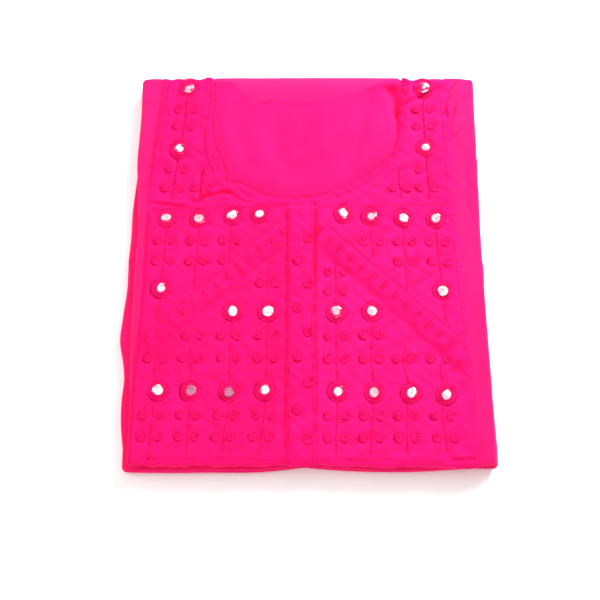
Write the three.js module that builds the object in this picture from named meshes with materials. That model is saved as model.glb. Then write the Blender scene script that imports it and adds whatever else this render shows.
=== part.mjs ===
// A cotton kurti folded flat into a pack, front upwards, with an embroidered yoke and small round mirrors.
// Millimetres, +Z up. The origin is under the middle of the pack: +X is the right-hand side as it lies,
// +Y runs up to the neck, and z = 0 is the flat underside that rests on a table.
import * as THREE from "three";

// ---- Driving dimensions -----------------------------------------------------------------------------

const CLOTH = 1.2; // wall of the ground cloth and the yoke
const TRIM = 1.0; // wall of the strips that lie on the yoke, and of a mirror
const GAP = 0.3; // air between two pieces at a seam or a lap

const FOLD_RADIUS = 2.4; // inside radius where the front panel turns over the edge of the pack
const FOLD_TURN = THREE.MathUtils.degToRad(155); // how far round that fold it is built
const YOKE_TURN = THREE.MathUtils.degToRad(65); // how far round it the yoke follows
const NOSE = FOLD_RADIUS + CLOTH; // outside radius of the folded edge

// Levels above the inner face of the front panel.
const FRONT = { from: 0, to: CLOTH };
const BACK = { from: -GAP - CLOTH, to: -GAP };
const YOKE = { from: CLOTH + GAP, to: 2 * CLOTH + GAP };
const STRIP = { from: 2 * (CLOTH + GAP), to: 2 * (CLOTH + GAP) + TRIM };
const BINDING = { from: STRIP.from, to: STRIP.to };
const CORE_TOP = BACK.from - GAP;

const BED_HEIGHT = 15.8; // inner face of the front panel at the rim of the pack
const CROWN = 1.1; // how much higher the middle is
const HALF_WIDTH = 155;
const HALF_LENGTH = 173.5;

// The folded layers that show below the front panel's own fold, from the table up: the height of each
// one's top, and how much shorter than the longest it is on each side.
const LAYERS = [
  { top: 3.5, left: 0.5, right: 0.9, near: 0.7, far: 0.0 },
  { top: 6.3, left: 0.0, right: 0.0, near: 0.0, far: 0.8 },
  { top: 9.6, left: 1.4, right: 0.6, near: 1.0, far: 0.3 },
];
const LAYER_DENT = 1.9; // depth of the crease between two of them
const CORNER_RADIUS = 5;

// The long sides. front: where the front panel folds under. lower: how far the layers beneath reach.
const SIDES = [
  { y: -157, leftFront: -145.2, leftLower: -147.8, rightFront: 153.0, rightLower: 155.0 },
  { y: -136, leftFront: -145.0, leftLower: -151.8, rightFront: 152.4, rightLower: 154.4 },
  { y: -116, leftFront: -145.2, leftLower: -151.0, rightFront: 152.0, rightLower: 154.0 },
  { y: -98, leftFront: -145.6, leftLower: -150.2, rightFront: 151.6, rightLower: 153.7 },
  { y: -83, leftFront: -146.2, leftLower: -152.2, rightFront: 151.2, rightLower: 153.3 },
  { y: -68, leftFront: -143.6, leftLower: -155.0, rightFront: 150.8, rightLower: 152.9 },
  { y: -46, leftFront: -143.2, leftLower: -153.4, rightFront: 150.4, rightLower: 152.4 },
  { y: -20, leftFront: -143.8, leftLower: -151.6, rightFront: 150.2, rightLower: 152.0 },
  { y: 6, leftFront: -144.6, leftLower: -151.2, rightFront: 150.2, rightLower: 151.8 },
  { y: 28, leftFront: -145.6, leftLower: -150.9, rightFront: 150.4, rightLower: 150.8 },
  { y: 47, leftFront: -146.6, leftLower: -150.4, rightFront: 150.6, rightLower: 151.0 },
  { y: 72, leftFront: -147.8, leftLower: -149.6, rightFront: 150.7, rightLower: 151.0 },
  { y: 92, leftFront: -148.4, leftLower: -149.0, rightFront: 150.7, rightLower: 151.0 },
  { y: 115, leftFront: -148.4, leftLower: -148.8, rightFront: 150.8, rightLower: 151.1 },
  { y: 140, leftFront: -148.0, leftLower: -148.4, rightFront: 150.6, rightLower: 151.0 },
  { y: 157, leftFront: -148.4, leftLower: -148.8, rightFront: 150.4, rightLower: 150.8 },
];

// The short ends: near is the fold at the bottom of the front, far the fold across the shoulders.
const ENDS = [
  { x: -136, nearFront: -170.2, nearLower: -173.4, farFront: 171.0, farLower: 171.4 },
  { x: -110, nearFront: -170.4, nearLower: -173.5, farFront: 171.4, farLower: 172.2 },
  { x: -85, nearFront: -170.3, nearLower: -173.3, farFront: 171.8, farLower: 172.8 },
  { x: -60, nearFront: -170.2, nearLower: -173.1, farFront: 172.6, farLower: 173.2 },
  { x: -36, nearFront: -170.0, nearLower: -172.8, farFront: 173.0, farLower: 173.4 },
  { x: -14, nearFront: -168.9, nearLower: -171.2, farFront: 173.2, farLower: 173.5 },
  { x: -2, nearFront: -167.9, nearLower: -169.8, farFront: 173.2, farLower: 173.5 },
  { x: 10, nearFront: -168.6, nearLower: -170.9, farFront: 173.2, farLower: 173.4 },
  { x: 34, nearFront: -169.8, nearLower: -172.4, farFront: 173.2, farLower: 173.3 },
  { x: 60, nearFront: -170.6, nearLower: -173.2, farFront: 172.8, farLower: 173.1 },
  { x: 86, nearFront: -170.8, nearLower: -173.4, farFront: 172.0, farLower: 172.8 },
  { x: 112, nearFront: -170.2, nearLower: -172.4, farFront: 171.6, farLower: 172.4 },
  { x: 136, nearFront: -169.0, nearLower: -170.6, farFront: 171.0, farLower: 171.6 },
];

// Soft rises and hollows of the whole pack, where more or fewer layers lie beneath.
const SWELLS = [
  { x: -104, y: 112, reach: 46, rise: 0.6 },
  { x: 112, y: 118, reach: 46, rise: 0.5 },
  { x: -98, y: 40, reach: 40, rise: -0.4 },
  { x: -62, y: -84, reach: 62, rise: 0.5 },
  { x: 76, y: -96, reach: 62, rise: 0.6 },
  { x: 92, y: 12, reach: 54, rise: -0.3 },
  { x: 24, y: 118, reach: 52, rise: 0.4 },
];

// The neck of the front, from its left end at the shoulder fold, round the bottom, to its right end.
const NECK = [
  { x: -85.0, y: 182 },
  { x: -82.4, y: 152 },
  { x: -83.6, y: 136 },
  { x: -83.9, y: 124 },
  { x: -82.0, y: 111 },
  { x: -78.2, y: 99.6 },
  { x: -74.4, y: 92.4 },
  { x: -72.0, y: 85 },
  { x: -70.2, y: 77 },
  { x: -68.6, y: 71.4 },
  { x: -56.3, y: 69 },
  { x: -47.6, y: 64.8 },
  { x: -39.0, y: 60.4 },
  { x: -31.0, y: 57.6 },
  { x: -15.0, y: 55.7 },
  { x: 7.0, y: 57.4 },
  { x: 22.0, y: 61.4 },
  { x: 38.0, y: 68.6 },
  { x: 50.0, y: 74.8 },
  { x: 60.5, y: 81.4 },
  { x: 70.0, y: 90 },
  { x: 76.2, y: 97.6 },
  { x: 80.4, y: 106 },
  { x: 83.1, y: 117 },
  { x: 84.6, y: 137 },
  { x: 86.6, y: 152 },
  { x: 88.6, y: 182 },
];
const NECK_STEPS = 110;
const BINDING_WIDTH = 5.6;
const BINDING_LIP = 2.6; // how far the binding turns down inside the neck

// The neckline of the back, which dips a little below the shoulder fold.
const BACK_NECK = [
  { x: -66, y: 169.0 },
  { x: -58, y: 160.0 },
  { x: -49, y: 150.4 },
  { x: -40, y: 148.4 },
  { x: -25, y: 151.6 },
  { x: -2, y: 149.8 },
  { x: 16, y: 150.6 },
  { x: 34, y: 155.0 },
  { x: 52, y: 161.4 },
  { x: 70, y: 169.0 },
];

const SEAM_Y = 49.6; // the seam between the straps and the lower yoke, at the middle
const SEAM_SLOPE = 0.016;
const SEAM_TIPS = { left: -18, right: 8 }; // where each strap's lower point is, under the placket's edge

// The outer edges of the yoke, from the bottom fold up over the shoulders.
const YOKE_EDGES = [
  { y: -172, left: -142.8, right: 140.2 },
  { y: -138, left: -142.6, right: 138.6 },
  { y: -104, left: -142.0, right: 137.6 },
  { y: -84, left: -141.2, right: 136.4 },
  { y: -60, left: -139.0, right: 135.0 },
  { y: -21, left: -137.8, right: 132.4 },
  { y: 10, left: -137.2, right: 130.6 },
  { y: 49, left: -137.0, right: 129.0 },
  { y: 66, left: -136.8, right: 128.8 },
  { y: 84, left: -135.4, right: 129.2 },
  { y: 115, left: -133.0, right: 129.8 },
  { y: 145, left: -130.0, right: 130.4 },
  { y: 178, left: -126.8, right: 131.2 },
];

// Where the rows of each strap lie, from the seam up to the shoulder: at its outer edge and at the neck.
const STRAP_ROWS = [
  { outer: 54, left: 54.5, right: 57.3 },
  { outer: 58, left: 58.2, right: 61.7 },
  { outer: 62, left: 64.2, right: 67.3 },
  { outer: 66, left: 67.9, right: 73.4 },
  { outer: 70, left: 69.5, right: 78.6 },
  { outer: 75, left: 73, right: 84.9 },
  { outer: 84, left: 82.6, right: 92.1 },
  { outer: 94, left: 92, right: 100.5 },
  { outer: 105, left: 103.6, right: 110 },
  { outer: 119.8, left: 119.8, right: 119.9 },
  { outer: 140, left: 140, right: 140 },
  { outer: 157, left: 157, right: 157 },
];

const PLACKET = { left: -13.4, right: 8.6, middle: -2.4 };

// The slanting bands of the yoke: the height of each edge at the placket and at the yoke's outer edge.
const BANDS = [
  { side: "left", inner: -13.8, outer: -136, upper: [44.6, -64.2], lower: [16.6, -86.6] },
  { side: "right", inner: 9.0, outer: 131.5, upper: [42.6, -68.6], lower: [14.6, -99.0] },
];
const BAND_STEPS = 11;

// Mirrors, by the column of embroidery that they stand on, counted from the placket outwards.
const MIRROR = { radius: 5, sides: 16, bevel: 0.4 };
const MIRRORS = [
  { name: "strap_left_1", x: -104.7, y: 162.0 },
  { name: "strap_left_2", x: -110.0, y: 103.0 },
  { name: "strap_right_1", x: 104.9, y: 162.4 },
  { name: "strap_right_2", x: 105.6, y: 104.0 },
  { name: "left_top_1", x: -39.4, y: 42.0 },
  { name: "left_top_2", x: -63.4, y: 40.2 },
  { name: "left_top_3", x: -91.4, y: 37.8 },
  { name: "left_top_4", x: -118.6, y: 38.6 },
  { name: "right_top_1", x: 32.8, y: 43.0 },
  { name: "right_top_2", x: 56.2, y: 39.6 },
  { name: "right_top_3", x: 83.4, y: 38.6 },
  { name: "right_top_4", x: 109.8, y: 37.8 },
  { name: "left_side", x: -121.2, y: -24.6 },
  { name: "right_side", x: 114.8, y: -26.4 },
  { name: "left_middle_1", x: -31.4, y: -43.6 },
  { name: "left_middle_2", x: -60.6, y: -44.5 },
  { name: "right_middle_1", x: 25.4, y: -44.5 },
  { name: "right_middle_2", x: 55.2, y: -44.4 },
  { name: "left_bottom_1", x: -32.4, y: -110.6 },
  { name: "left_bottom_2", x: -62.6, y: -111.4 },
  { name: "left_bottom_3", x: -93.8, y: -111.4 },
  { name: "left_bottom_4", x: -122.4, y: -110.6 },
  { name: "right_bottom_1", x: 26.2, y: -111.4 },
  { name: "right_bottom_2", x: 55.4, y: -112.2 },
  { name: "right_bottom_3", x: 86.6, y: -113.8 },
  { name: "right_bottom_4", x: 115.0, y: -113.8 },
];

// A pinched fold runs up from the left strap's seam to the neck: it lifts the pieces on both sides of it.
const PINCH = { x0: -97, y0: 47, x1: -66, y1: 60, reach: 15, rise: 1.1 };

// ---- Curves and surfaces of the pack ----------------------------------------------------------------

// The value of a column of a table at a place between two of its rows.
function between(table, key, column, at) {
  const last = table.length - 1;
  if (at <= table[0][key]) return table[0][column];
  if (at >= table[last][key]) return table[last][column];
  const i = table.findIndex((row) => row[key] >= at);
  const [a, b] = [table[i - 1], table[i]];
  return THREE.MathUtils.mapLinear(at, a[key], b[key], a[column], b[column]);
}

// Where the front panel starts to turn down, on each side of a point.
const startLeft = (y) => between(SIDES, "y", "leftFront", y) + NOSE;
const startRight = (y) => between(SIDES, "y", "rightFront", y) - NOSE;
const startNear = (x) => between(ENDS, "x", "nearFront", x) + NOSE;
const startFar = (x) => between(ENDS, "x", "farFront", x) - NOSE;

// The height of the front panel's inner face over a point of the pack.
function bed(x, y) {
  let z = BED_HEIGHT + CROWN * (1 - (x / HALF_WIDTH) ** 2) * (1 - (y / HALF_LENGTH) ** 2);
  for (const s of SWELLS) {
    z += s.rise * Math.exp(-((x - s.x) ** 2 + (y - s.y) ** 2) / s.reach ** 2);
  }
  return z;
}

// A point of cloth that lies at (x, y), measured along the cloth, at a level above the bed.
// Past the start of a folded edge the cloth turns down round it.
function lay(x, y, level) {
  const ax = THREE.MathUtils.clamp(x, startLeft(y), startRight(y));
  const ay = THREE.MathUtils.clamp(y, startNear(x), startFar(x));
  const dx = x - ax;
  const dy = y - ay;
  const z = bed(ax, ay);
  if (dx === 0 && dy === 0) return new THREE.Vector3(x, y, z + level);
  const turn = Math.min(Math.max(Math.abs(dx), Math.abs(dy)) / FOLD_RADIUS, FOLD_TURN);
  const radius = FOLD_RADIUS + level;
  const reach = (radius * Math.sin(turn)) / Math.hypot(dx, dy);
  return new THREE.Vector3(ax + dx * reach, ay + dy * reach, z - FOLD_RADIUS + radius * Math.cos(turn));
}

// How much a pinched fold lifts the cloth at a point.
function pinch(x, y) {
  const along = new THREE.Vector2(PINCH.x1 - PINCH.x0, PINCH.y1 - PINCH.y0);
  const from = new THREE.Vector2(x - PINCH.x0, y - PINCH.y0);
  const t = THREE.MathUtils.clamp(from.dot(along) / along.lengthSq(), 0, 1);
  const off = from.addScaledVector(along, -t).length();
  return PINCH.rise * Math.exp(-((off / PINCH.reach) ** 2) * 2);
}

// The neck as a row of points, moved outwards into the cloth by a distance.
const neckSpline = new THREE.SplineCurve(NECK.map((p) => new THREE.Vector2(p.x, p.y)));
function neckLine(out) {
  return neckSpline.getSpacedPoints(NECK_STEPS).map((p, i) => {
    const t = neckSpline.getTangentAt(i / NECK_STEPS);
    return new THREE.Vector2(p.x + t.y * out, p.y - t.x * out);
  });
}

// Where a row of points crosses a height, on one side of the pack, or passes a place across it.
function crossing(line, key, at, side) {
  const other = key === "y" ? "x" : "y";
  for (let i = 1; i < line.length; i++) {
    const [a, b] = [line[i - 1], line[i]];
    const here = (a[key] - at) * (b[key] - at) <= 0 && a[key] !== b[key];
    if (here && (!side || Math.sign(a.x) === side)) {
      return THREE.MathUtils.mapLinear(at, a[key], b[key], a[other], b[other]);
    }
  }
  throw new Error("the line doesn't reach " + at);
}

// ---- Making closed solids ---------------------------------------------------------------------------

// A closed geometry from points and faces of three or four corners, all facing out.
function solid(points, faces) {
  const geometry = new THREE.BufferGeometry();
  geometry.setAttribute("position", new THREE.Float32BufferAttribute(points.flatMap((p) => [p.x, p.y, p.z]), 3));
  geometry.setIndex(faces.flatMap(([a, b, c, d]) => (d === undefined ? [a, b, c] : [a, b, c, a, c, d])));
  geometry.computeVertexNormals();
  return geometry;
}

// A wall of cloth over a net of cells. upper and lower hold the two faces of the wall, point by point.
// A cell lists its corners anticlockwise as seen from the upper face, and a rim edge belongs to one cell.
function wall(upper, lower, cells) {
  const n = upper.length;
  const faces = cells.map((cell) => [...cell]);
  const edges = new Map();
  for (const cell of cells) {
    faces.push(cell.map((i) => i + n).reverse());
    cell.forEach((a, k) => {
      const b = cell[(k + 1) % cell.length];
      if (!edges.delete(b + ":" + a)) edges.set(a + ":" + b, [a, b]);
    });
  }
  for (const [a, b] of edges.values()) faces.push([b, a, a + n, b + n]);
  return solid([...upper, ...lower], faces);
}

// A wall laid on the pack between two levels. rows are rows of [x, y] places, from near to far and each
// from left to right, and skip says which cells are left out.
function sheet(rows, level, { lift = () => 0, skip = () => false } = {}) {
  const across = rows[0].length;
  const used = new Map();
  const places = [];
  const index = (r, c) => {
    const key = r * across + c;
    if (!used.has(key)) {
      used.set(key, places.length);
      places.push(rows[r][c]);
    }
    return used.get(key);
  };
  const cells = [];
  for (let r = 0; r + 1 < rows.length; r++) {
    for (let c = 0; c + 1 < across; c++) {
      if (!skip(r, c)) cells.push([index(r, c), index(r, c + 1), index(r + 1, c + 1), index(r + 1, c)]);
    }
  }
  const upper = places.map(([x, y]) => lay(x, y, level.to + lift(x, y)));
  const lower = places.map(([x, y]) => lay(x, y, level.from + lift(x, y)));
  return wall(upper, lower, cells);
}

// Steps of distance along the cloth round a folded edge, up to an angle.
const roundFold = (turn, steps) => Array.from({ length: steps }, (_, i) => (FOLD_RADIUS * turn * (i + 1)) / steps);

// ---- The folded layers under the front ---------------------------------------------------------------

// One level ring of the pack's outline: edge is "Front" or "Lower", inset moves it inwards, and a layer
// moves each side in by its own amount. Inside the neck the far side of the tongue has no front over it,
// so it reaches further there.
const NECK_HALF = 70;
function ring(edge, inset, height, layer = { left: 0, right: 0, near: 0, far: 0 }) {
  const points = [];
  const put = (x, y) => points.push(new THREE.Vector3(x, y, height(x, y)));
  const inward = { left: 1, right: -1, near: 1, far: -1 };
  const side = (name, row) => row[name + edge] + inward[name] * layer[name];
  const free = (row) => (edge === "Front" && Math.abs(row.x) < NECK_HALF ? inset * 0.4 : inset);
  const corner = (cx, cy, from) => {
    for (const k of [1, 2, 3]) {
      const a = THREE.MathUtils.degToRad(from + 22.5 * k);
      put(cx + CORNER_RADIUS * Math.cos(a), cy + CORNER_RADIUS * Math.sin(a));
    }
  };
  const [first, last] = [SIDES[0], SIDES[SIDES.length - 1]];
  const [west, east] = [ENDS[0], ENDS[ENDS.length - 1]];
  const hold = inset + CORNER_RADIUS;
  for (const row of ENDS) put(row.x, side("near", row) + inset);
  corner(side("right", first) - hold, side("near", east) + hold, -90);
  for (const row of SIDES) put(side("right", row) - inset, row.y);
  corner(side("right", last) - hold, side("far", east) - hold, 0);
  for (const row of [...ENDS].reverse()) put(row.x, side("far", row) - free(row));
  corner(side("left", last) + hold, side("far", west) - hold, 90);
  for (const row of [...SIDES].reverse()) put(side("left", row) + inset, row.y);
  corner(side("left", first) + hold, side("near", west) + hold, 180);
  return points;
}

// The hidden body, skirt and sleeves: rounded folds one over another, and a tongue that the front covers.
function foldedLayers() {
  const flat = (z) => () => z;
  const under = (drop) => (x, y) => bed(x, y) - drop;
  const rings = [ring("Lower", 1.4, flat(0), LAYERS[0])];
  LAYERS.forEach((layer, i) => {
    const from = i ? LAYERS[i - 1].top : 0;
    const at = (share) => flat(THREE.MathUtils.lerp(from, layer.top, share));
    rings.push(ring("Lower", 0.2, at(0.25), layer));
    rings.push(ring("Lower", 0.1, at(0.72), layer));
    if (i + 1 < LAYERS.length) rings.push(ring("Lower", LAYER_DENT, at(1), layer));
  });
  const tuck = NOSE - 0.7;
  rings.push(ring("Lower", 4.4, flat(LAYERS[LAYERS.length - 1].top)));
  rings.push(ring("Front", tuck, under(FOLD_RADIUS + 3.5)));
  rings.push(ring("Front", tuck, under(FOLD_RADIUS + 2.2)));
  rings.push(ring("Front", NOSE - 1.7, under(FOLD_RADIUS + 1.0)));
  rings.push(ring("Front", NOSE - 1.9, under(FOLD_RADIUS + 0.1)));
  rings.push(ring("Front", NOSE - 1.1, under(-CORE_TOP)));
  const around = rings[0].length;
  const points = rings.flat();
  const faces = [];
  for (let r = 0; r + 1 < rings.length; r++) {
    for (let i = 0; i < around; i++) {
      const j = (i + 1) % around;
      faces.push([r * around + i, r * around + j, (r + 1) * around + j, (r + 1) * around + i]);
    }
  }
  // The flat underside.
  const centre = points.length;
  points.push(new THREE.Vector3(0, 0, 0));
  for (let i = 0; i < around; i++) faces.push([centre, (i + 1) % around, i]);
  // The top: the net of the tables' own lines, joined to the last ring.
  const [nx, ny] = [ENDS.length, SIDES.length];
  const net = points.length;
  for (const side of SIDES) {
    for (const end of ENDS) points.push(new THREE.Vector3(end.x, side.y, under(-CORE_TOP)(end.x, side.y)));
  }
  const at = (r, c) => net + r * nx + c;
  for (let r = 0; r + 1 < ny; r++) {
    for (let c = 0; c + 1 < nx; c++) faces.push([at(r, c), at(r, c + 1), at(r + 1, c + 1), at(r + 1, c)]);
  }
  const inner = [];
  for (let c = 0; c < nx; c++) inner.push(at(0, c));
  for (let k = 0; k < 3; k++) inner.push(at(0, nx - 1));
  for (let r = 0; r < ny; r++) inner.push(at(r, nx - 1));
  for (let k = 0; k < 3; k++) inner.push(at(ny - 1, nx - 1));
  for (let c = nx - 1; c >= 0; c--) inner.push(at(ny - 1, c));
  for (let k = 0; k < 3; k++) inner.push(at(ny - 1, 0));
  for (let r = ny - 1; r >= 0; r--) inner.push(at(r, 0));
  for (let k = 0; k < 3; k++) inner.push(at(0, 0));
  const rim = (rings.length - 1) * around;
  for (let i = 0; i < around; i++) {
    const j = (i + 1) % around;
    if (inner[i] === inner[j]) faces.push([rim + i, rim + j, inner[i]]);
    else faces.push([rim + i, rim + j, inner[j], inner[i]]);
  }
  return solid(points, faces);
}

// ---- The body -----------------------------------------------------------------------------------------

// The front of the body: it wraps every folded edge of the pack, and its neck lies under the binding.
function frontBody() {
  const neck = neckLine(3);
  const folds = roundFold(FOLD_TURN, 4);
  const xs = ENDS.map((row) => row.x);
  const columns = [
    ...[...folds].reverse().map((s) => (y) => startLeft(y) - s),
    startLeft,
    ...xs.map((x) => () => x),
    startRight,
    ...folds.map((s) => (y) => startRight(y) + s),
  ];
  const rows = [
    ...[...folds].reverse().map((s) => (x) => startNear(x) - s),
    startNear,
    ...SIDES.map((row) => () => row.y),
    startFar,
    ...folds.map((s) => (x) => startFar(x) + s),
  ];
  const firstX = folds.length + 1;
  const firstY = folds.length + 1;
  const leftColumn = firstX + xs.indexOf(-85);
  const rightColumn = firstX + xs.indexOf(86);
  const neckRow = firstY + SIDES.findIndex((row) => row.y === 72);
  const corners = { left: { x: -71.4, y: 71 }, right: { x: 70.5, y: 86.2 } };
  const grid = rows.map((rowY, r) =>
    columns.map((columnX, c) => {
      // A folded row or column depends on the other direction, so it is read at the middle of the net first.
      const x0 = columnX(THREE.MathUtils.clamp(rowY(0), -157, 157));
      const y = rowY(x0);
      const x = columnX(y);
      if (r < neckRow || c < leftColumn || c > rightColumn) return [x, y];
      if (r === neckRow && c === leftColumn) return [corners.left.x, corners.left.y];
      if (r === neckRow && c === rightColumn) return [corners.right.x, corners.right.y];
      if (r === neckRow) return [x, crossing(neck, "x", x)];
      if (c === leftColumn) return [crossing(neck, "y", y, -1), y];
      if (c === rightColumn) return [crossing(neck, "y", y, 1), y];
      return [x, y];
    }),
  );
  const skip = (r, c) => r >= neckRow && c >= leftColumn && c < rightColumn;
  return sheet(grid, FRONT, { skip });
}

// The back of the body, lying face down under the front: its inside shows in the neck.
function backBody() {
  const inset = 1;
  const steps = 14;
  const neckline = BACK_NECK.map((p) => new THREE.Vector2(p.x, p.y));
  const xs = [-144, -136, -110, -85, ...BACK_NECK.map((p) => p.x), 86, 112, 136, 146.2];
  const top = (x) => {
    const inNeck = x >= BACK_NECK[0].x && x <= BACK_NECK[BACK_NECK.length - 1].x;
    return inNeck ? crossing(neckline, "x", x) : startFar(x) - inset;
  };
  const rows = [];
  for (let i = 0; i <= steps; i++) {
    rows.push(
      xs.map((x, c) => {
        const bottom = startNear(x) + inset;
        const y = THREE.MathUtils.lerp(bottom, top(x), i / steps);
        if (c === 0) return [startLeft(y) + inset, y];
        if (c === xs.length - 1) return [startRight(y) - inset, y];
        return [x, y];
      }),
    );
  }
  return sheet(rows, BACK);
}

// ---- The yoke -----------------------------------------------------------------------------------------

const yokeEdge = (side, y) => between(YOKE_EDGES, "y", side, y);
const seam = (x) => SEAM_Y + SEAM_SLOPE * x;

// A strap: from its outer edge to the neck, from the seam up over the shoulder fold.
function strap(side) {
  const sign = side === "left" ? -1 : 1;
  const neck = neckLine(1.6);
  const tip = { x: SEAM_TIPS[side], y: seam(SEAM_TIPS[side]) + GAP / 2 };
  const fold = startFar(sign * 110);
  const end = fold + FOLD_RADIUS * YOKE_TURN;
  const over = [fold, (fold + end) / 2, end].map((y) => ({ outer: y, left: y, right: y }));
  const across = 5;
  const rows = [...STRAP_ROWS, ...over].map((row) => [
    { x: yokeEdge(side, row.outer), y: row.outer },
    { x: crossing(neck, "y", row[side], sign), y: row[side] },
  ]);
  const x0 = yokeEdge(side, SEAM_Y);
  rows.unshift([{ x: x0, y: seam(x0) + GAP / 2 }, tip]);
  const places = rows.map(([outer, inner]) => {
    const row = [];
    for (let c = 0; c <= across; c++) {
      const t = c / across;
      row.push([THREE.MathUtils.lerp(outer.x, inner.x, t), THREE.MathUtils.lerp(outer.y, inner.y, t)]);
    }
    return side === "left" ? row : row.reverse();
  });
  return sheet(places, YOKE, { lift: side === "left" ? pinch : undefined });
}

// A lower panel: from the middle seam to its outer edge, from the bottom fold to the seam or the neck.
function lowerYoke(side) {
  const sign = side === "left" ? -1 : 1;
  const neck = neckLine(1.6);
  const inner = PLACKET.middle + (sign * GAP) / 2;
  const tip = SEAM_TIPS[side];
  const linesX = ENDS.map((row) => row.x).filter((x) => sign * (x - tip) > 5 && Math.abs(x) < 126);
  const stops = [inner, tip, ...(side === "left" ? linesX.reverse() : linesX)];
  const border = 0.8; // least width of the last column, which starts where the front panel turns down
  const ys = [-157, -136, -116, -98, -83, -68, -46, -20, 6, 28];
  const topAt = (x) => (x === inner ? crossing(neck, "x", x) : seam(x) - GAP / 2);
  const folds = roundFold(YOKE_TURN, 2);
  const rowYs = [
    ...[...folds].reverse().map((s) => (x) => startNear(x) - s),
    startNear,
    ...ys.map((y) => () => y),
    topAt,
  ];
  const places = rowYs.map((rowY) => {
    const y = rowY(sign * 136);
    const edge = yokeEdge(side, y);
    const start = side === "left" ? startLeft(y) : startRight(y);
    const last = sign * Math.min(Math.abs(start), Math.abs(edge) - border);
    const row = [...stops.map((x) => [x, rowY(x)]), [last, y], [edge, y]];
    return side === "left" ? row.reverse() : row;
  });
  return sheet(places, YOKE, { lift: side === "left" ? pinch : undefined });
}

// The button placket down the middle, lapped over both lower panels.
function placket() {
  const neck = neckLine(1.6);
  const xs = [PLACKET.left, -8, PLACKET.middle, 3, PLACKET.right];
  const folds = roundFold(YOKE_TURN, 2);
  const ys = [-157, -136, -116, -98, -83, -68, -46, -20, 6, 28];
  const rows = [
    ...[...folds].reverse().map((s) => xs.map((x) => [x, startNear(x) - s])),
    xs.map((x) => [x, startNear(x)]),
    ...ys.map((y) => xs.map((x) => [x, y])),
    xs.map((x) => [x, crossing(neck, "x", x) - BINDING_WIDTH + 1.2]),
  ];
  return sheet(rows, STRIP);
}

// A slanting band, laid on its lower panel.
function band({ side, inner, outer, upper, lower }) {
  const rows = [[], [], []];
  for (let i = 0; i <= BAND_STEPS; i++) {
    const t = i / BAND_STEPS;
    const x = THREE.MathUtils.lerp(inner, outer, t);
    const low = THREE.MathUtils.lerp(lower[0], lower[1], t);
    const high = THREE.MathUtils.lerp(upper[0], upper[1], t);
    [low, (low + high) / 2, high].forEach((y, r) => rows[r].push([x, y]));
  }
  return sheet(side === "left" ? rows.map((row) => row.reverse()) : rows, STRIP);
}

// The binding round the neck: a strip on the yoke whose inner edge turns down into the neck.
function neckBinding() {
  const inside = neckLine(-TRIM);
  const edge = neckLine(0);
  const outside = neckLine(BINDING_WIDTH);
  const [first, last] = [4, NECK_STEPS - 4];
  const section = [
    (i) => [outside[i], BINDING.to],
    (i) => [inside[i], BINDING.to],
    (i) => [inside[i], BINDING.from - BINDING_LIP],
    (i) => [edge[i], BINDING.from - BINDING_LIP],
    (i) => [edge[i], BINDING.from],
    (i) => [outside[i], BINDING.from],
  ];
  const points = [];
  const faces = [];
  const count = section.length;
  let sections = 0;
  for (let i = first; i <= last; i += 2) {
    for (const corner of section) {
      const [p, level] = corner(i);
      const lift = level >= BINDING.from ? pinch(p.x, p.y) : 0;
      points.push(lay(p.x, p.y, level + lift));
    }
    sections++;
  }
  for (let s = 0; s + 1 < sections; s++) {
    for (let k = 0; k < count; k++) {
      const l = (k + 1) % count;
      faces.push([s * count + k, (s + 1) * count + k, (s + 1) * count + l, s * count + l]);
    }
  }
  // The two ends, each cut into the strip and the lip.
  const end = (sections - 1) * count;
  faces.push([1, 2, 3, 4], [0, 1, 4, 5]);
  faces.push([end + 4, end + 3, end + 2, end + 1], [end + 5, end + 4, end + 1, end + 0]);
  return solid(points, faces);
}

// ---- The mirrors ---------------------------------------------------------------------------------------

// A small glass disc with a worn edge, tilted as the cloth lies under it.
function mirror({ x, y }) {
  const { radius, sides, bevel } = MIRROR;
  const levels = [
    [radius, STRIP.from],
    [radius, STRIP.to - bevel],
    [radius - bevel, STRIP.to],
  ];
  const points = [];
  for (const [r, level] of levels) {
    for (let i = 0; i < sides; i++) {
      const a = (2 * Math.PI * i) / sides;
      const px = x + r * Math.cos(a);
      const py = y + r * Math.sin(a);
      points.push(lay(px, py, level + pinch(px, py)));
    }
  }
  const faces = [];
  for (let l = 0; l + 1 < levels.length; l++) {
    for (let i = 0; i < sides; i++) {
      const j = (i + 1) % sides;
      faces.push([l * sides + i, l * sides + j, (l + 1) * sides + j, (l + 1) * sides + i]);
    }
  }
  const top = (levels.length - 1) * sides;
  for (let i = 1; i + 1 < sides; i++) {
    faces.push([0, i + 1, i]);
    faces.push([top, top + i, top + i + 1]);
  }
  return solid(points, faces);
}

// ---- The kurti -----------------------------------------------------------------------------------------

const CLOTH_LOOK = { roughness: 0.85, metalness: 0 };
const groundCloth = () => new THREE.MeshStandardMaterial({ color: 0xf41f80, ...CLOTH_LOOK });
const yokeCloth = () => new THREE.MeshStandardMaterial({ color: 0xf21a7c, ...CLOTH_LOOK });
const trimCloth = () => new THREE.MeshStandardMaterial({ color: 0xf5267f, ...CLOTH_LOOK });
const mirrorGlass = () => new THREE.MeshStandardMaterial({ color: 0xf2f4f6, roughness: 0.08, metalness: 1 });

const kurti = new THREE.Group();
function add(name, geometry, material) {
  const mesh = new THREE.Mesh(geometry, material);
  mesh.name = name;
  kurti.add(mesh);
}

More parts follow.
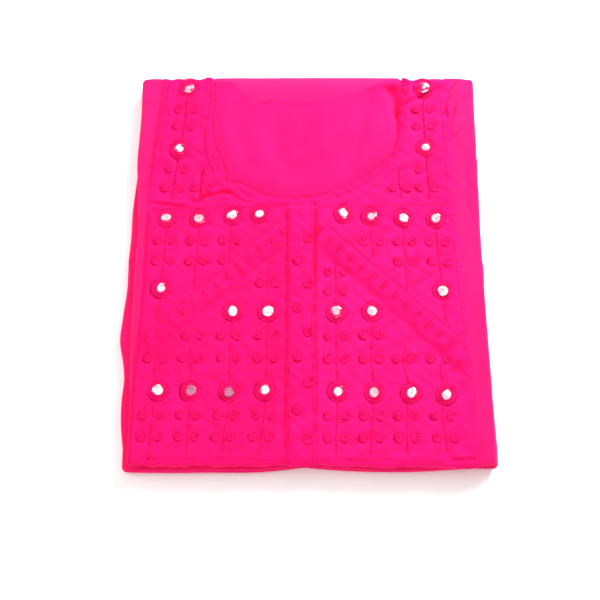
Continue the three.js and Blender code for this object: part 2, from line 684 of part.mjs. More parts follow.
add("folded_layers", foldedLayers(), groundCloth());
add("back_body", backBody(), groundCloth());
add("front_body", frontBody(), groundCloth());
for (const side of ["left", "right"]) {
  add("strap_" + side, strap(side), yokeCloth());
  add("yoke_" + side, lowerYoke(side), yokeCloth());
}
for (const row of BANDS) add("band_" + row.side, band(row), trimCloth());
add("placket", placket(), trimCloth());
add("neck_binding", neckBinding(), trimCloth());
for (const row of MIRRORS) add("mirror_" + row.name, mirror(row), mirrorGlass());

export default kurti;
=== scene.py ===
# %% [markdown]
# # A kurti folded into a flat pack
# A kurti is a long cotton tunic. This one is folded the way a shop folds it: the sides and the sleeves go
# behind, the skirt is turned up under the front, and the embroidered yoke is left on top. The script loads
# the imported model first, because every piece that follows is laid on the places that the model gives.

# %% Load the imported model
import math

import bpy
import numpy as np
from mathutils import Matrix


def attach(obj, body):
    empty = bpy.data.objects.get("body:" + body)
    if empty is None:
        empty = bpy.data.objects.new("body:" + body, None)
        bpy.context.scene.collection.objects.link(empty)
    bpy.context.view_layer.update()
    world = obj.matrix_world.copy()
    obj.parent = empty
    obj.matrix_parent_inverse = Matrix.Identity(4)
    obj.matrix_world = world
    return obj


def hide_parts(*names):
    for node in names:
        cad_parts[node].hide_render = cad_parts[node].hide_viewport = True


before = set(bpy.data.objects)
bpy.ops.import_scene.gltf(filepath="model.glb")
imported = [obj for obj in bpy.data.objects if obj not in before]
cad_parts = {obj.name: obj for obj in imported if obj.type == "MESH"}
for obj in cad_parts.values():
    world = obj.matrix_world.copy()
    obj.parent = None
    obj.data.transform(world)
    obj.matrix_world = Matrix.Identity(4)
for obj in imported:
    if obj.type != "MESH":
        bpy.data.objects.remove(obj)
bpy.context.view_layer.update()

MM = 0.001

# %% [markdown]
# ## Camera
# The pack is looked at from the front and from high up, as if it lay on a table in front of us. In Blender
# the lens sits in the camera's data, and the place and the turn sit in its object. The plain standard view
# transform is used, because a filmic one would take the strength out of a pink as hot as this.

# %% Camera
camera = bpy.data.objects.new("camera", bpy.data.cameras.new("camera"))
camera.data.lens = 51
camera.data.sensor_width = 36
camera.location = (-0.00473, -0.21853, 0.70484)
camera.rotation_euler = (math.radians(15), 0, 0)
bpy.context.collection.objects.link(camera)
bpy.context.scene.camera = camera
bpy.context.scene.view_settings.view_transform = "Standard"
bpy.context.scene.view_settings.look = "None"
print("the camera is", round(camera.location.length, 3), "m away")

# %% [markdown]
# ## Helpers for finishes
# A finish is a small tree of shader nodes. Written out link by link, such trees get long, so a few helpers
# keep them short: an input is given by name, as a plain value to set or as another node's socket to link.

# %% Node helpers


def feed(node, inputs):
    """Sets each named input of a node, or links it where a socket is given."""
    for name, value in inputs.items():
        if isinstance(value, bpy.types.NodeSocket):
            node.id_data.links.new(value, node.inputs[name])
        else:
            node.inputs[name].default_value = value


def new_material(name):
    """A material, its Principled shader, and a socket that gives the place on the object."""
    material = bpy.data.materials.new(name)
    material.use_nodes = True
    tree = material.node_tree
    return material, tree.nodes["Principled BSDF"], add_node(tree, "ShaderNodeTexCoord").outputs["Object"]


def add_node(tree, kind, **settings):
    """One node, with its inputs or its own settings given by name."""
    node = tree.nodes.new(kind)
    for key, value in settings.items():
        if key in node.inputs:
            feed(node, {key: value})
        else:
            setattr(node, key, value)
    return node


def maths(operation, *terms):
    """Arithmetic on sockets and plain numbers. The first term is a socket."""
    node = add_node(terms[0].id_data, "ShaderNodeMath", operation=operation)
    feed(node, dict(enumerate(terms)))
    return node.outputs[0]


def noise(place, scale, detail, roughness=0.5):
    """A cloudy pattern that varies a finish from place to place."""
    settings = {"Vector": place, "Scale": scale, "Detail": detail, "Roughness": roughness}
    return add_node(place.id_data, "ShaderNodeTexNoise", **settings).outputs["Fac"]


def waves(place, direction, period, distortion, detail=2.0):
    """Parallel waves, a period in metres apart."""
    scale = 2 * math.pi / 20 / period
    settings = {"Vector": place, "Scale": scale, "Distortion": distortion, "Detail": detail}
    return add_node(place.id_data, "ShaderNodeTexWave", bands_direction=direction, **settings).outputs["Fac"]


def ramp(factor, *stops):
    """A colour ramp over a socket. A stop is a place and a colour, or a place and one number."""
    node = add_node(factor.id_data, "ShaderNodeValToRGB", Fac=factor)
    elements = node.color_ramp.elements
    while len(elements) < len(stops):
        elements.new(0.5)
    for element, (place, colour) in zip(elements, stops):
        element.position = place
        element.color = (*np.broadcast_to(colour, 3), 1)
    return node.outputs["Color"]


def bump(height, strength, distance, under=None):
    """Small relief from a pattern, on top of another bump if one is given."""
    node = add_node(height.id_data, "ShaderNodeBump", Height=height, Strength=strength, Distance=distance)
    if under is not None:
        feed(node, {"Normal": under})
    return node.outputs["Normal"]


# %% [markdown]
# ## Floor and light
# The floor is a plain pale table with hardly any grain. The light is one very large soft box overhead and a
# little behind, with a small one raking in from the far right, a weak one on the left and a low one in front
# to lift the near edge, all in an even room. Such light keeps the shadows short and soft, and it is also what
# the little mirrors reflect.

# %% Floor and light
bpy.ops.mesh.primitive_plane_add(size=6, location=(0, 0, -0.0002))
floor = bpy.context.object
floor.name = "floor"
white_table, shader, _ = new_material("white_table")
grain = add_node(white_table.node_tree, "ShaderNodeTexNoise", Scale=30.0, Detail=3.0).outputs["Fac"]
feed(shader, {
    "Base Color": ramp(grain, (0.3, 0.885), (0.7, 0.9)),
    "Roughness": 0.9,
    "Specular IOR Level": 0.1,
})
floor.data.materials.append(white_table)

world = bpy.data.worlds.new("room")
bpy.context.scene.world = world
world.use_nodes = True
feed(world.node_tree.nodes["Background"], {"Color": (1.0, 0.985, 0.99, 1), "Strength": 0.40})

# Columns: place in metres, width and depth in metres, and power in watts. All face the middle of the pack.
SOFT_BOXES = {
    "overhead_soft_box": ((0.0, 0.39, 1.3), (1.75, 1.55), 10.6),
    "raking_soft_box": ((0.66, 0.86, 0.64), (0.5, 0.5), 28),
    "left_fill": ((-1.1, 0.15, 0.7), (0.9, 0.9), 7),
    "front_fill": ((-0.1, -1.5, 0.22), (1.4, 0.36), 13),
}
for name, (place, size, power) in SOFT_BOXES.items():
    light = bpy.data.lights.new(name, "AREA")
    light.shape = "RECTANGLE"
    light.size, light.size_y = size
    light.energy = power
    holder = bpy.data.objects.new(name, light)
    holder.location = place
    lean = math.atan2(math.hypot(place[0], place[1]), place[2])
    holder.rotation_euler = (0, lean, math.atan2(place[1], place[0]))
    bpy.context.collection.objects.link(holder)
print(len(SOFT_BOXES), "soft boxes in an even room")

# %% [markdown]
# ## The form of the pack
# The front panel lies flat on the folded layers and turns down round each edge of the pack. So a piece of
# cloth is described by where it lies along the cloth, x across and y up the front, and by its level above the
# inner face of the front panel. Here are the thicknesses, the gaps and the folds, in millimetres.

# %% Sizes and levels
CLOTH = 1.2
TRIM = 1.0
GAP = 0.3
FOLD_RADIUS = 2.4
FOLD_TURN = math.radians(155)
# The yoke goes less far round a fold than the front does.
YOKE_WRAP = FOLD_RADIUS * math.radians(65)
NOSE = FOLD_RADIUS + CLOTH
# Levels of the lower and the upper face of each kind of piece.
FRONT = (0.0, CLOTH)
BACK = (-GAP - CLOTH, -GAP)
YOKE = (CLOTH + GAP, 2 * CLOTH + GAP)
STRIP = (2 * (CLOTH + GAP), 2 * (CLOTH + GAP) + TRIM)
CORE_TOP = -CLOTH - 2 * GAP
BED_HEIGHT = 15.8
CROWN = 1.1
HALF_WIDTH = 155
HALF_LENGTH = 173.5
# The folds are followed up to here. Beyond are the rounded corners of the pack.
CORNER_X, CORNER_Y = 136, 157
print("levels of the yoke", YOKE, "and of the strips on it", STRIP)

# %% [markdown]
# ## The edges of the pack
# A folded edge is never quite straight. The tables follow the edges from row to row, and they are read
# through a smooth curve, so no edge has a corner where two rows meet. The swells are where more or fewer
# layers lie beneath, and each is a low round mound or hollow.

# %% Edges and swells
# Columns: y, left edge of the front, of the layers below, right edge of the front, of the layers below.
SIDES = np.array([
    (-157, -143.6, -149.4, 153.0, 156.0),
    (-136, -143.4, -152.2, 152.8, 155.2),
    (-116, -143.6, -152.8, 152.5, 154.8),
    (-98, -144.4, -151.6, 152.1, 154.5),
    (-83, -145.2, -153.4, 151.8, 154.1),
    (-68, -145.2, -156.4, 151.5, 153.7),
    (-46, -145.2, -155.0, 151.2, 153.3),
    (-20, -144.8, -152.7, 151.0, 153.3),
    (-4, -144.6, -152.8, 150.8, 153.6),
    (6, -144.6, -152.6, 150.6, 152.4),
    (28, -143.4, -151.4, 150.4, 151.0),
    (47, -144.8, -151.6, 150.6, 151.0),
    (72, -146.6, -150.2, 150.7, 151.0),
    (92, -147.8, -148.6, 150.8, 151.1),
    (115, -147.0, -147.6, 151.0, 151.3),
    (140, -146.4, -146.8, 151.0, 151.4),
    (157, -146.8, -147.2, 151.4, 151.8),
])
# Columns: x, near edge of the front, of the layers below, far edge of the front, of the layers below.
ENDS = np.array([
    (-146, -170.8, -175.2, 172.2, 173.2),
    (-136, -171.2, -175.9, 173.4, 173.6),
    (-128, -171.2, -176.0, 173.0, 173.2),
    (-110, -171.2, -176.0, 172.6, 173.0),
    (-88, -171.2, -175.9, 172.8, 173.2),
    (-82, -171.2, -175.8, 174.3, 174.2),
    (-76, -171.2, -175.8, 174.5, 174.2),
    (-36, -171.2, -175.3, 174.6, 174.4),
    (-14, -170.2, -173.4, 174.8, 174.4),
    (-2, -169.6, -172.0, 174.8, 174.4),
    (10, -170.2, -173.0, 174.8, 174.4),
    (34, -171.4, -174.6, 174.8, 174.2),
    (78, -172.0, -175.6, 174.6, 174.2),
    (85, -172.0, -175.5, 174.5, 174.2),
    (91, -172.1, -175.3, 173.0, 173.4),
    (112, -172.2, -174.2, 172.8, 173.0),
    (126, -172.4, -173.4, 173.2, 173.2),
    (137, -172.2, -172.8, 173.8, 173.6),
    (146, -170.0, -171.2, 172.6, 173.0),
])
# Columns: x, y, reach and rise.
SWELLS = [
    (-104, 112, 46, 0.6),
    (112, 118, 46, 0.5),
    (-98, 40, 40, -0.4),
    (-62, -84, 62, 0.5),
    (76, -96, 62, 0.6),
    (92, 12, 54, -0.3),
    (24, 118, 52, 0.4),
]


def smooth(table, column, at):
    """A smooth curve through a column of a table, read at places of its first column."""
    places, values = table[:, 0], table[:, column]
    slope = np.gradient(values, places)
    i = np.clip(np.searchsorted(places, at) - 1, 0, len(places) - 2)
    gap = places[i + 1] - places[i]
    t = np.clip((at - places[i]) / gap, 0, 1)
    start = (2 * t**3 - 3 * t**2 + 1) * values[i] + (t**3 - 2 * t**2 + t) * gap * slope[i]
    return start + (3 * t**2 - 2 * t**3) * values[i + 1] + (t**3 - t**2) * gap * slope[i + 1]


# The four lines at which the front panel starts to turn down.
def start_left(y):
    return smooth(SIDES, 1, y) + NOSE


def start_right(y):
    return smooth(SIDES, 3, y) - NOSE


def start_near(x):
    return smooth(ENDS, 1, x) + NOSE


def start_far(x):
    return smooth(ENDS, 3, x) - NOSE


print("the front is flat for", round(float(start_right(0) - start_left(0))), "mm across the middle")

# %% [markdown]
# ## Laying cloth on the pack
# Every piece on the front goes through one function. It takes places along the cloth and levels above the
# bed, and gives points in space: flat in the middle, and wound round a fold past the line where it starts.
# So whatever is sewn to the front folds over the edge together with it.

# %% Laying the cloth


def bed(x, y):
    """Height of the front panel's inner face."""
    z = BED_HEIGHT + CROWN * (1 - (x / HALF_WIDTH) ** 2) * (1 - (y / HALF_LENGTH) ** 2)
    for sx, sy, reach, rise in SWELLS:
        z = z + rise * np.exp(-((x - sx) ** 2 + (y - sy) ** 2) / reach**2)
    return z


def lay(x, y, level):
    """Points of cloth at places measured along it, at levels above the bed, folded over the edges."""
    x, y, level = np.broadcast_arrays(*(np.asarray(v, float) for v in (x, y, level)))
    ax = np.clip(x, start_left(y), start_right(y))
    ay = np.clip(y, start_near(x), start_far(x))
    dx, dy = x - ax, y - ay
    turn = np.minimum(np.maximum(abs(dx), abs(dy)) / FOLD_RADIUS, FOLD_TURN)
    radius = FOLD_RADIUS + level
    reach = radius * np.sin(turn) / np.maximum(np.hypot(dx, dy), 1e-9)
    flat = (dx == 0) & (dy == 0)
    px = np.where(flat, x, ax + dx * reach)
    py = np.where(flat, y, ay + dy * reach)
    pz = bed(ax, ay) + np.where(flat, level, radius * np.cos(turn) - FOLD_RADIUS)
    return np.stack([px, py, pz], axis=-1)


print("the middle of the front is", round(float(bed(0, 0)) + CLOTH, 1), "mm high")

# %% [markdown]
# ## The neck
# The neck is one smooth line with a sharp corner at its lower left, where the binding was pulled while the
# pack was folded. The same line, moved outwards by a few millimetres, cuts the front, the straps and the
# lower yoke, so all of them meet under the binding. The back has a neckline of its own, further up.

# %% Neck line
NECK = np.array([
    (-85.0, 182), (-82.4, 152), (-83.6, 136), (-83.9, 124), (-82.0, 111), (-78.2, 99.6), (-74.4, 92.4),
    (-72.0, 85), (-70.2, 77), (-68.6, 71.4), (-56.3, 69.0), (-47.6, 64.8), (-39, 60.4), (-31, 57.6),
    (-15, 55.7), (7, 57.4), (22, 61.4), (38, 68.6), (50, 74.8), (60.5, 81.4), (70, 90), (76.2, 97.6),
    (80.4, 106), (83.1, 117), (84.6, 137), (86.6, 152), (88.6, 182),
])
BACK_NECK = np.array([
    (-66, 169.0), (-58, 160.0), (-49, 150.4), (-40, 148.4), (-25, 151.6),
    (-2, 149.8), (16, 150.6), (34, 155.0), (52, 161.4), (70, 169.0),
])
NECK_STEPS = 440
# So many steps at each end of the neck's line run up to the shoulders.
NECK_SIDE = 60
BINDING_WIDTH = 5.6
# The cut edges of the yoke and the placket lie so far out from the neck's edge, under the binding.
UNDER_BINDING = 1.6


def spline(points, per_span=24):
    """A Catmull-Rom curve through a row of points."""
    padded = np.vstack([points[:1], points, points[-1:]])
    t = np.linspace(0, 1, per_span, endpoint=False)[:, None]
    spans = []
    for p0, p1, p2, p3 in zip(padded, padded[1:], padded[2:], padded[3:]):
        v0, v1 = (p2 - p0) / 2, (p3 - p1) / 2
        cubic = (2 * p1 - 2 * p2 + v0 + v1) * t**3 + (3 * p2 - 3 * p1 - 2 * v0 - v1) * t**2
        spans.append(cubic + v0 * t + p1)
    return np.vstack(spans + [points[-1:]])


def lengths(path):
    """Distance along a path at each of its points."""
    return np.concatenate([[0], np.cumsum(np.linalg.norm(np.diff(path, axis=0), axis=1))])


def at_distance(path, at):
    """Points of a path at distances along it."""
    s = lengths(path)
    return np.stack([np.interp(at, s, path[:, k]) for k in range(2)], axis=-1)


def even(path, steps):
    """The same path with its points at even distances."""
    path = np.asarray(path, float)
    return at_distance(path, np.linspace(0, lengths(path)[-1], steps + 1))


neck_middle = even(spline(NECK), NECK_STEPS)
neck_run = np.gradient(neck_middle, axis=0)
neck_run /= np.linalg.norm(neck_run, axis=1)[:, None]


def neck_line(out):
    """The neck's line, moved outwards into the cloth."""
    return neck_middle + out * np.stack([neck_run[:, 1], -neck_run[:, 0]], axis=1)


def neck_foot(x):
    """How far up the hidden edge under the binding lies, at places below the neck."""
    under = neck_line(UNDER_BINDING)[NECK_SIDE:-NECK_SIDE]
    return np.interp(x, under[:, 0], under[:, 1])


print("the neck's edge is", round(float(lengths(neck_middle)[-1])), "mm long")

# %% [markdown]
# ## Where the pieces of the yoke meet
# The yoke has a left and a right half that meet in the middle, under the placket, and a cross seam parts each
# half into a strap and a lower panel. A slanting band crosses each lower panel. These lines come first,
# because the seams and the strips pull on the cloth beside them.

# %% Lines of the yoke
COLUMN = {"left": 1, "right": 2}
MIDDLE_X = -2.4
SEAM_Y, SEAM_SLOPE = 49.6, 0.016
PLACKET_EDGES = (-15.8, 7.1)
# A band's edges at the placket and at its outer end: x, then y of the upper and of the lower edge.
BANDS = {
    "left": ((-16.2, 42.5, 14.6), (-136.0, -64.2, -86.6)),
    "right": ((7.6, 43.9, 15.9), (131.5, -68.6, -99.0)),
}
# Columns: y, left and right outer edge of the yoke.
YOKE_EDGES = np.array([
    (-172, -142.8, 140.2), (-138, -142.6, 138.6), (-104, -142.0, 137.6), (-84, -141.2, 136.4),
    (-60, -139.0, 135.0), (-21, -137.8, 132.4), (10, -137.2, 130.6), (49, -137.0, 129.0),
    (66, -136.8, 128.8), (84, -135.4, 129.2), (115, -133.0, 129.8), (145, -130.0, 130.4),
    (178, -126.8, 131.2),
])


def yoke_edge(side, y):
    return smooth(YOKE_EDGES, COLUMN[side], y)


def seam(x):
    return SEAM_Y + SEAM_SLOPE * x


def placket_wander(y):
    """How far the placket strays sideways along its length."""
    return 0.3 * np.sin(y * 0.045 + 1) + 0.15 * np.sin(y * 0.13)


def band_edges(side, x):
    """How far up the lower and the upper edge of a band lie."""
    (x0, top0, low0), (x1, top1, low1) = BANDS[side]
    t = (x - x0) / (x1 - x0)
    return low0 + t * (low1 - low0), top0 + t * (top1 - top0)


print("the yoke is", round(float(yoke_edge("right", 0) - yoke_edge("left", 0))), "mm wide at mid height")

# %% [markdown]
# ## Where the embroidery lies
# The embroidery is listed before any cloth is made, because it pulls on all the cloth under it. The yoke
# carries straight stems with curls in pairs beside them, and a mirror at the head of most stems. Smaller
# rows of curls go up the straps and down the placket.

# %% Places of the embroidery
# Stems of the yoke as paths, from the top down.
STEMS = [
    [(-118.6, 30.5), (-119.8, 8), (-121.2, -15.8)],
    [(-122.0, -33.5), (-123.2, -44), (-123.6, -54)],
    [(-124.2, -86), (-123.6, -102)],
    [(-123.0, -119.5), (-124.4, -142), (-126.0, -166)],
    [(-91.2, 29.5), (-92.4, 2), (-94.2, -26.5)],
    [(-95.2, -72.5), (-94.4, -90), (-94.0, -102.6)],
    [(-94.0, -120), (-94.8, -142), (-96.2, -164)],
    [(-63.2, 31.5), (-64.0, 14), (-64.8, 1.5)],
    [(-61.4, -52.6), (-62.4, -78), (-62.4, -102.6)],
    [(-63.0, -120), (-65.2, -142), (-68.2, -165)],
    [(-31.6, -3.6), (-32.2, -20), (-32.0, -34.4)],
    [(-31.6, -52.8), (-32.2, -78), (-32.4, -101.8)],
    [(-32.6, -119.4), (-35.0, -142), (-38.0, -164)],
    [(25.8, 3.4), (25.6, -16), (25.4, -35.6)],
    [(25.4, -53.4), (25.0, -78), (25.6, -102.6)],
    [(25.6, -120), (24.6, -142), (23.9, -164)],
    [(55.9, 31), (56.4, 16), (57.0, 1.5)],
    [(55.0, -53.4), (53.8, -78), (54.4, -103.4)],
    [(54.4, -121), (53.0, -142), (51.7, -164)],
    [(83.2, 29.6), (84.4, 4), (85.6, -25.4)],
    [(81.2, -74), (80.4, -90), (83.0, -105)],
    [(82.4, -122), (81.0, -142), (81.4, -162)],
    [(111.0, 29), (112.8, 4), (114.4, -17.4)],
    [(114.8, -35.4), (115.6, -44), (116.2, -54)],
    [(109.6, -88), (111.8, -105)],
    [(110.6, -122), (111.0, -142), (113.4, -160)],
    [(-104.8, 153), (-106.6, 132), (-108.8, 112)],
    [(-111.0, 94), (-113.6, 74), (-116.4, 52)],
    [(104.8, 153.4), (104.6, 132), (105.2, 113)],
    [(105.6, 95), (106.6, 74), (107.2, 54.5)],
    [(81.4, 84), (81.9, 70), (82.3, 56)],
    [(-89.6, 84), (-90.8, 72), (-91.4, 57)],
]
# Curls: the height of a row, then the place of each curl across it.
LEFT_CURLS = [
    (17.8, [-126.3, -113.2, -98.6, -85.2, -70.6, -57.0]),
    (0.0, [-127.2, -113.7, -99.2, -85.8, -70.6]),
    (-20.0, [-38.6, -25.2]),
    (-64.9, [-99.6, -87.0, -70.4, -56.6, -39.6, -25.2]),
    (-83.8, [-130.4, -116.6, -101.6, -88.0, -70.0, -56.2, -39.2, -25.6]),
    (-130.4, [-131.6, -117.2, -101.7, -88.1, -71.2, -57.6, -40.8, -27.2]),
    (-147.8, [-132.2, -118.2, -102.4, -88.6, -73.2, -59.4, -42.8, -29.0]),
]
RIGHT_CURLS = [
    (16.9, [49.4, 63.4, 77.2, 91.0, 105.2, 119.4]),
    (-0.9, [78.0, 91.8, 106.4, 120.2]),
    (-10.0, [19.2, 32.6]),
    (-26.6, [18.8, 32.4]),
    (-64.9, [18.4, 32.4, 47.4, 61.2]),
    (-84.6, [18.2, 32.2, 47.0, 60.6, 73.8, 87.6, 102.2, 116.4]),
    (-131.2, [18.0, 32.0, 46.6, 60.6, 74.4, 88.2, 103.4, 117.6]),
    (-148.6, [17.4, 31.4, 45.6, 59.6, 74.2, 88.2, 105.2, 119.4]),
]
STRAP_CURLS = [
    (141.0, [-112.8, -98.6, 97.8, 111.6]),
    (124.4, [-114.2, -100.4, 98.2, 112.2]),
    (83.4, [-119.2, -105.2, 98.6]),
    (66.0, [-122.0, -108.0, -96.8, -83.0, 98.8, 112.8, 75.4, 88.6]),
]
PLACKET_CURLS = [
    (19.6, [2.4]), (-0.4, [-7.0]), (-20.6, [2.4]), (-41.4, [-7.2]), (-62.4, [2.2]),
    (-83.4, [-7.2]), (-104.2, [2.2]), (-126.2, [-7.4]), (-150.0, [2.0]),
]
MIRRORS = {
    "strap_left_1": (-104.7, 162.0), "strap_left_2": (-109.6, 102.0),
    "strap_right_1": (105.6, 161.4), "strap_right_2": (105.6, 104.0),
    "left_top_1": (-39.4, 42.0), "left_top_2": (-62.4, 40.2),
    "left_top_3": (-90.3, 37.8), "left_top_4": (-118.6, 38.6),
    "right_top_1": (32.8, 42.0), "right_top_2": (56.2, 39.6),
    "right_top_3": (84.0, 38.6), "right_top_4": (111.6, 37.9),
    "left_side": (-121.2, -24.6), "right_side": (114.8, -26.4),
    "left_middle_1": (-31.4, -44.8), "left_middle_2": (-60.6, -44.5),
    "right_middle_1": (25.4, -45.3), "right_middle_2": (55.2, -44.4),
    "left_bottom_1": (-33.0, -110.6), "left_bottom_2": (-62.6, -111.4),
    "left_bottom_3": (-93.8, -111.4), "left_bottom_4": (-119.8, -110.8),
    "right_bottom_1": (26.2, -111.4), "right_bottom_2": (55.4, -112.2),
    "right_bottom_3": (85.4, -112.8), "right_bottom_4": (114.0, -113.9),
}
yoke_curls = [(cx, cy) for cy, row in LEFT_CURLS + RIGHT_CURLS + STRAP_CURLS for cx in row]
placket_curls = [(cx, cy) for cy, row in PLACKET_CURLS for cx in row]
print(len(STEMS), "stems,", len(yoke_curls), "curls and", len(MIRRORS), "mirrors on the yoke")

# %% [markdown]
# ## Creases
# Cotton that has been folded and handled keeps creases. They are placed one by one: each is a path with a
# width and a rise, where a negative rise is a trough. Each fades out at both ends, and beside a trough the
# cloth stands up a little, as real cloth does, because its length has to go somewhere.

# %% Crease tools
# A crease fades over this share of its path at each end, and its banks are this much of its rise.
FADE = 0.22
BANK = 0.45


def ease(t):
    """0 below 0, 1 above 1, and a smooth step between them."""
    t = np.clip(t, 0, 1)
    return t * t * (3 - 2 * t)


def beside(path, x, y):
    """Signed distance from a path, with left of it positive, and the share of the way along it."""
    path = np.asarray(path, float)
    along = lengths(path)
    best = np.full(x.shape, np.inf)
    side = np.zeros(x.shape)
    share = np.zeros(x.shape)
    for start, stop, gone in zip(path, path[1:], along):
        run = stop - start
        size = max(float(run @ run), 1e-9)
        t = np.clip(((x - start[0]) * run[0] + (y - start[1]) * run[1]) / size, 0, 1)
        ox, oy = x - start[0] - t * run[0], y - start[1] - t * run[1]
        off = np.hypot(ox, oy)
        near = off < best
        best = np.where(near, off, best)
        side = np.where(near, np.sign(run[0] * oy - run[1] * ox), side)
        share = np.where(near, (gone + t * math.sqrt(size)) / along[-1], share)
    return best * side, share


def crease(x, y, rise, width, path):
    """How far one crease lifts or lowers the cloth."""
    side, share = beside(path, x, y)
    fade = ease(share / FADE) * ease((1 - share) / FADE)
    bank = BANK * np.exp(-(((side - 2.1 * width) / (1.5 * width)) ** 2))
    return rise * fade * (np.exp(-((side / width) ** 2)) - bank)


def creases(x, y, table):
    return sum((crease(x, y, *row) for row in table), np.zeros(np.shape(x)))


print("a trough 1 mm deep has a bank", BANK, "mm high beside it")

# %% [markdown]
# ## The creases of the front
# Every layer that lies on the front shares these, so no layer cuts through another. The deep ones are the
# pinched fold beside the lower left of the neck, the drag lines from the right shoulder, the left edge of
# the neck, and the seams beside the placket. The others are shallow, uneven hollows and swells.

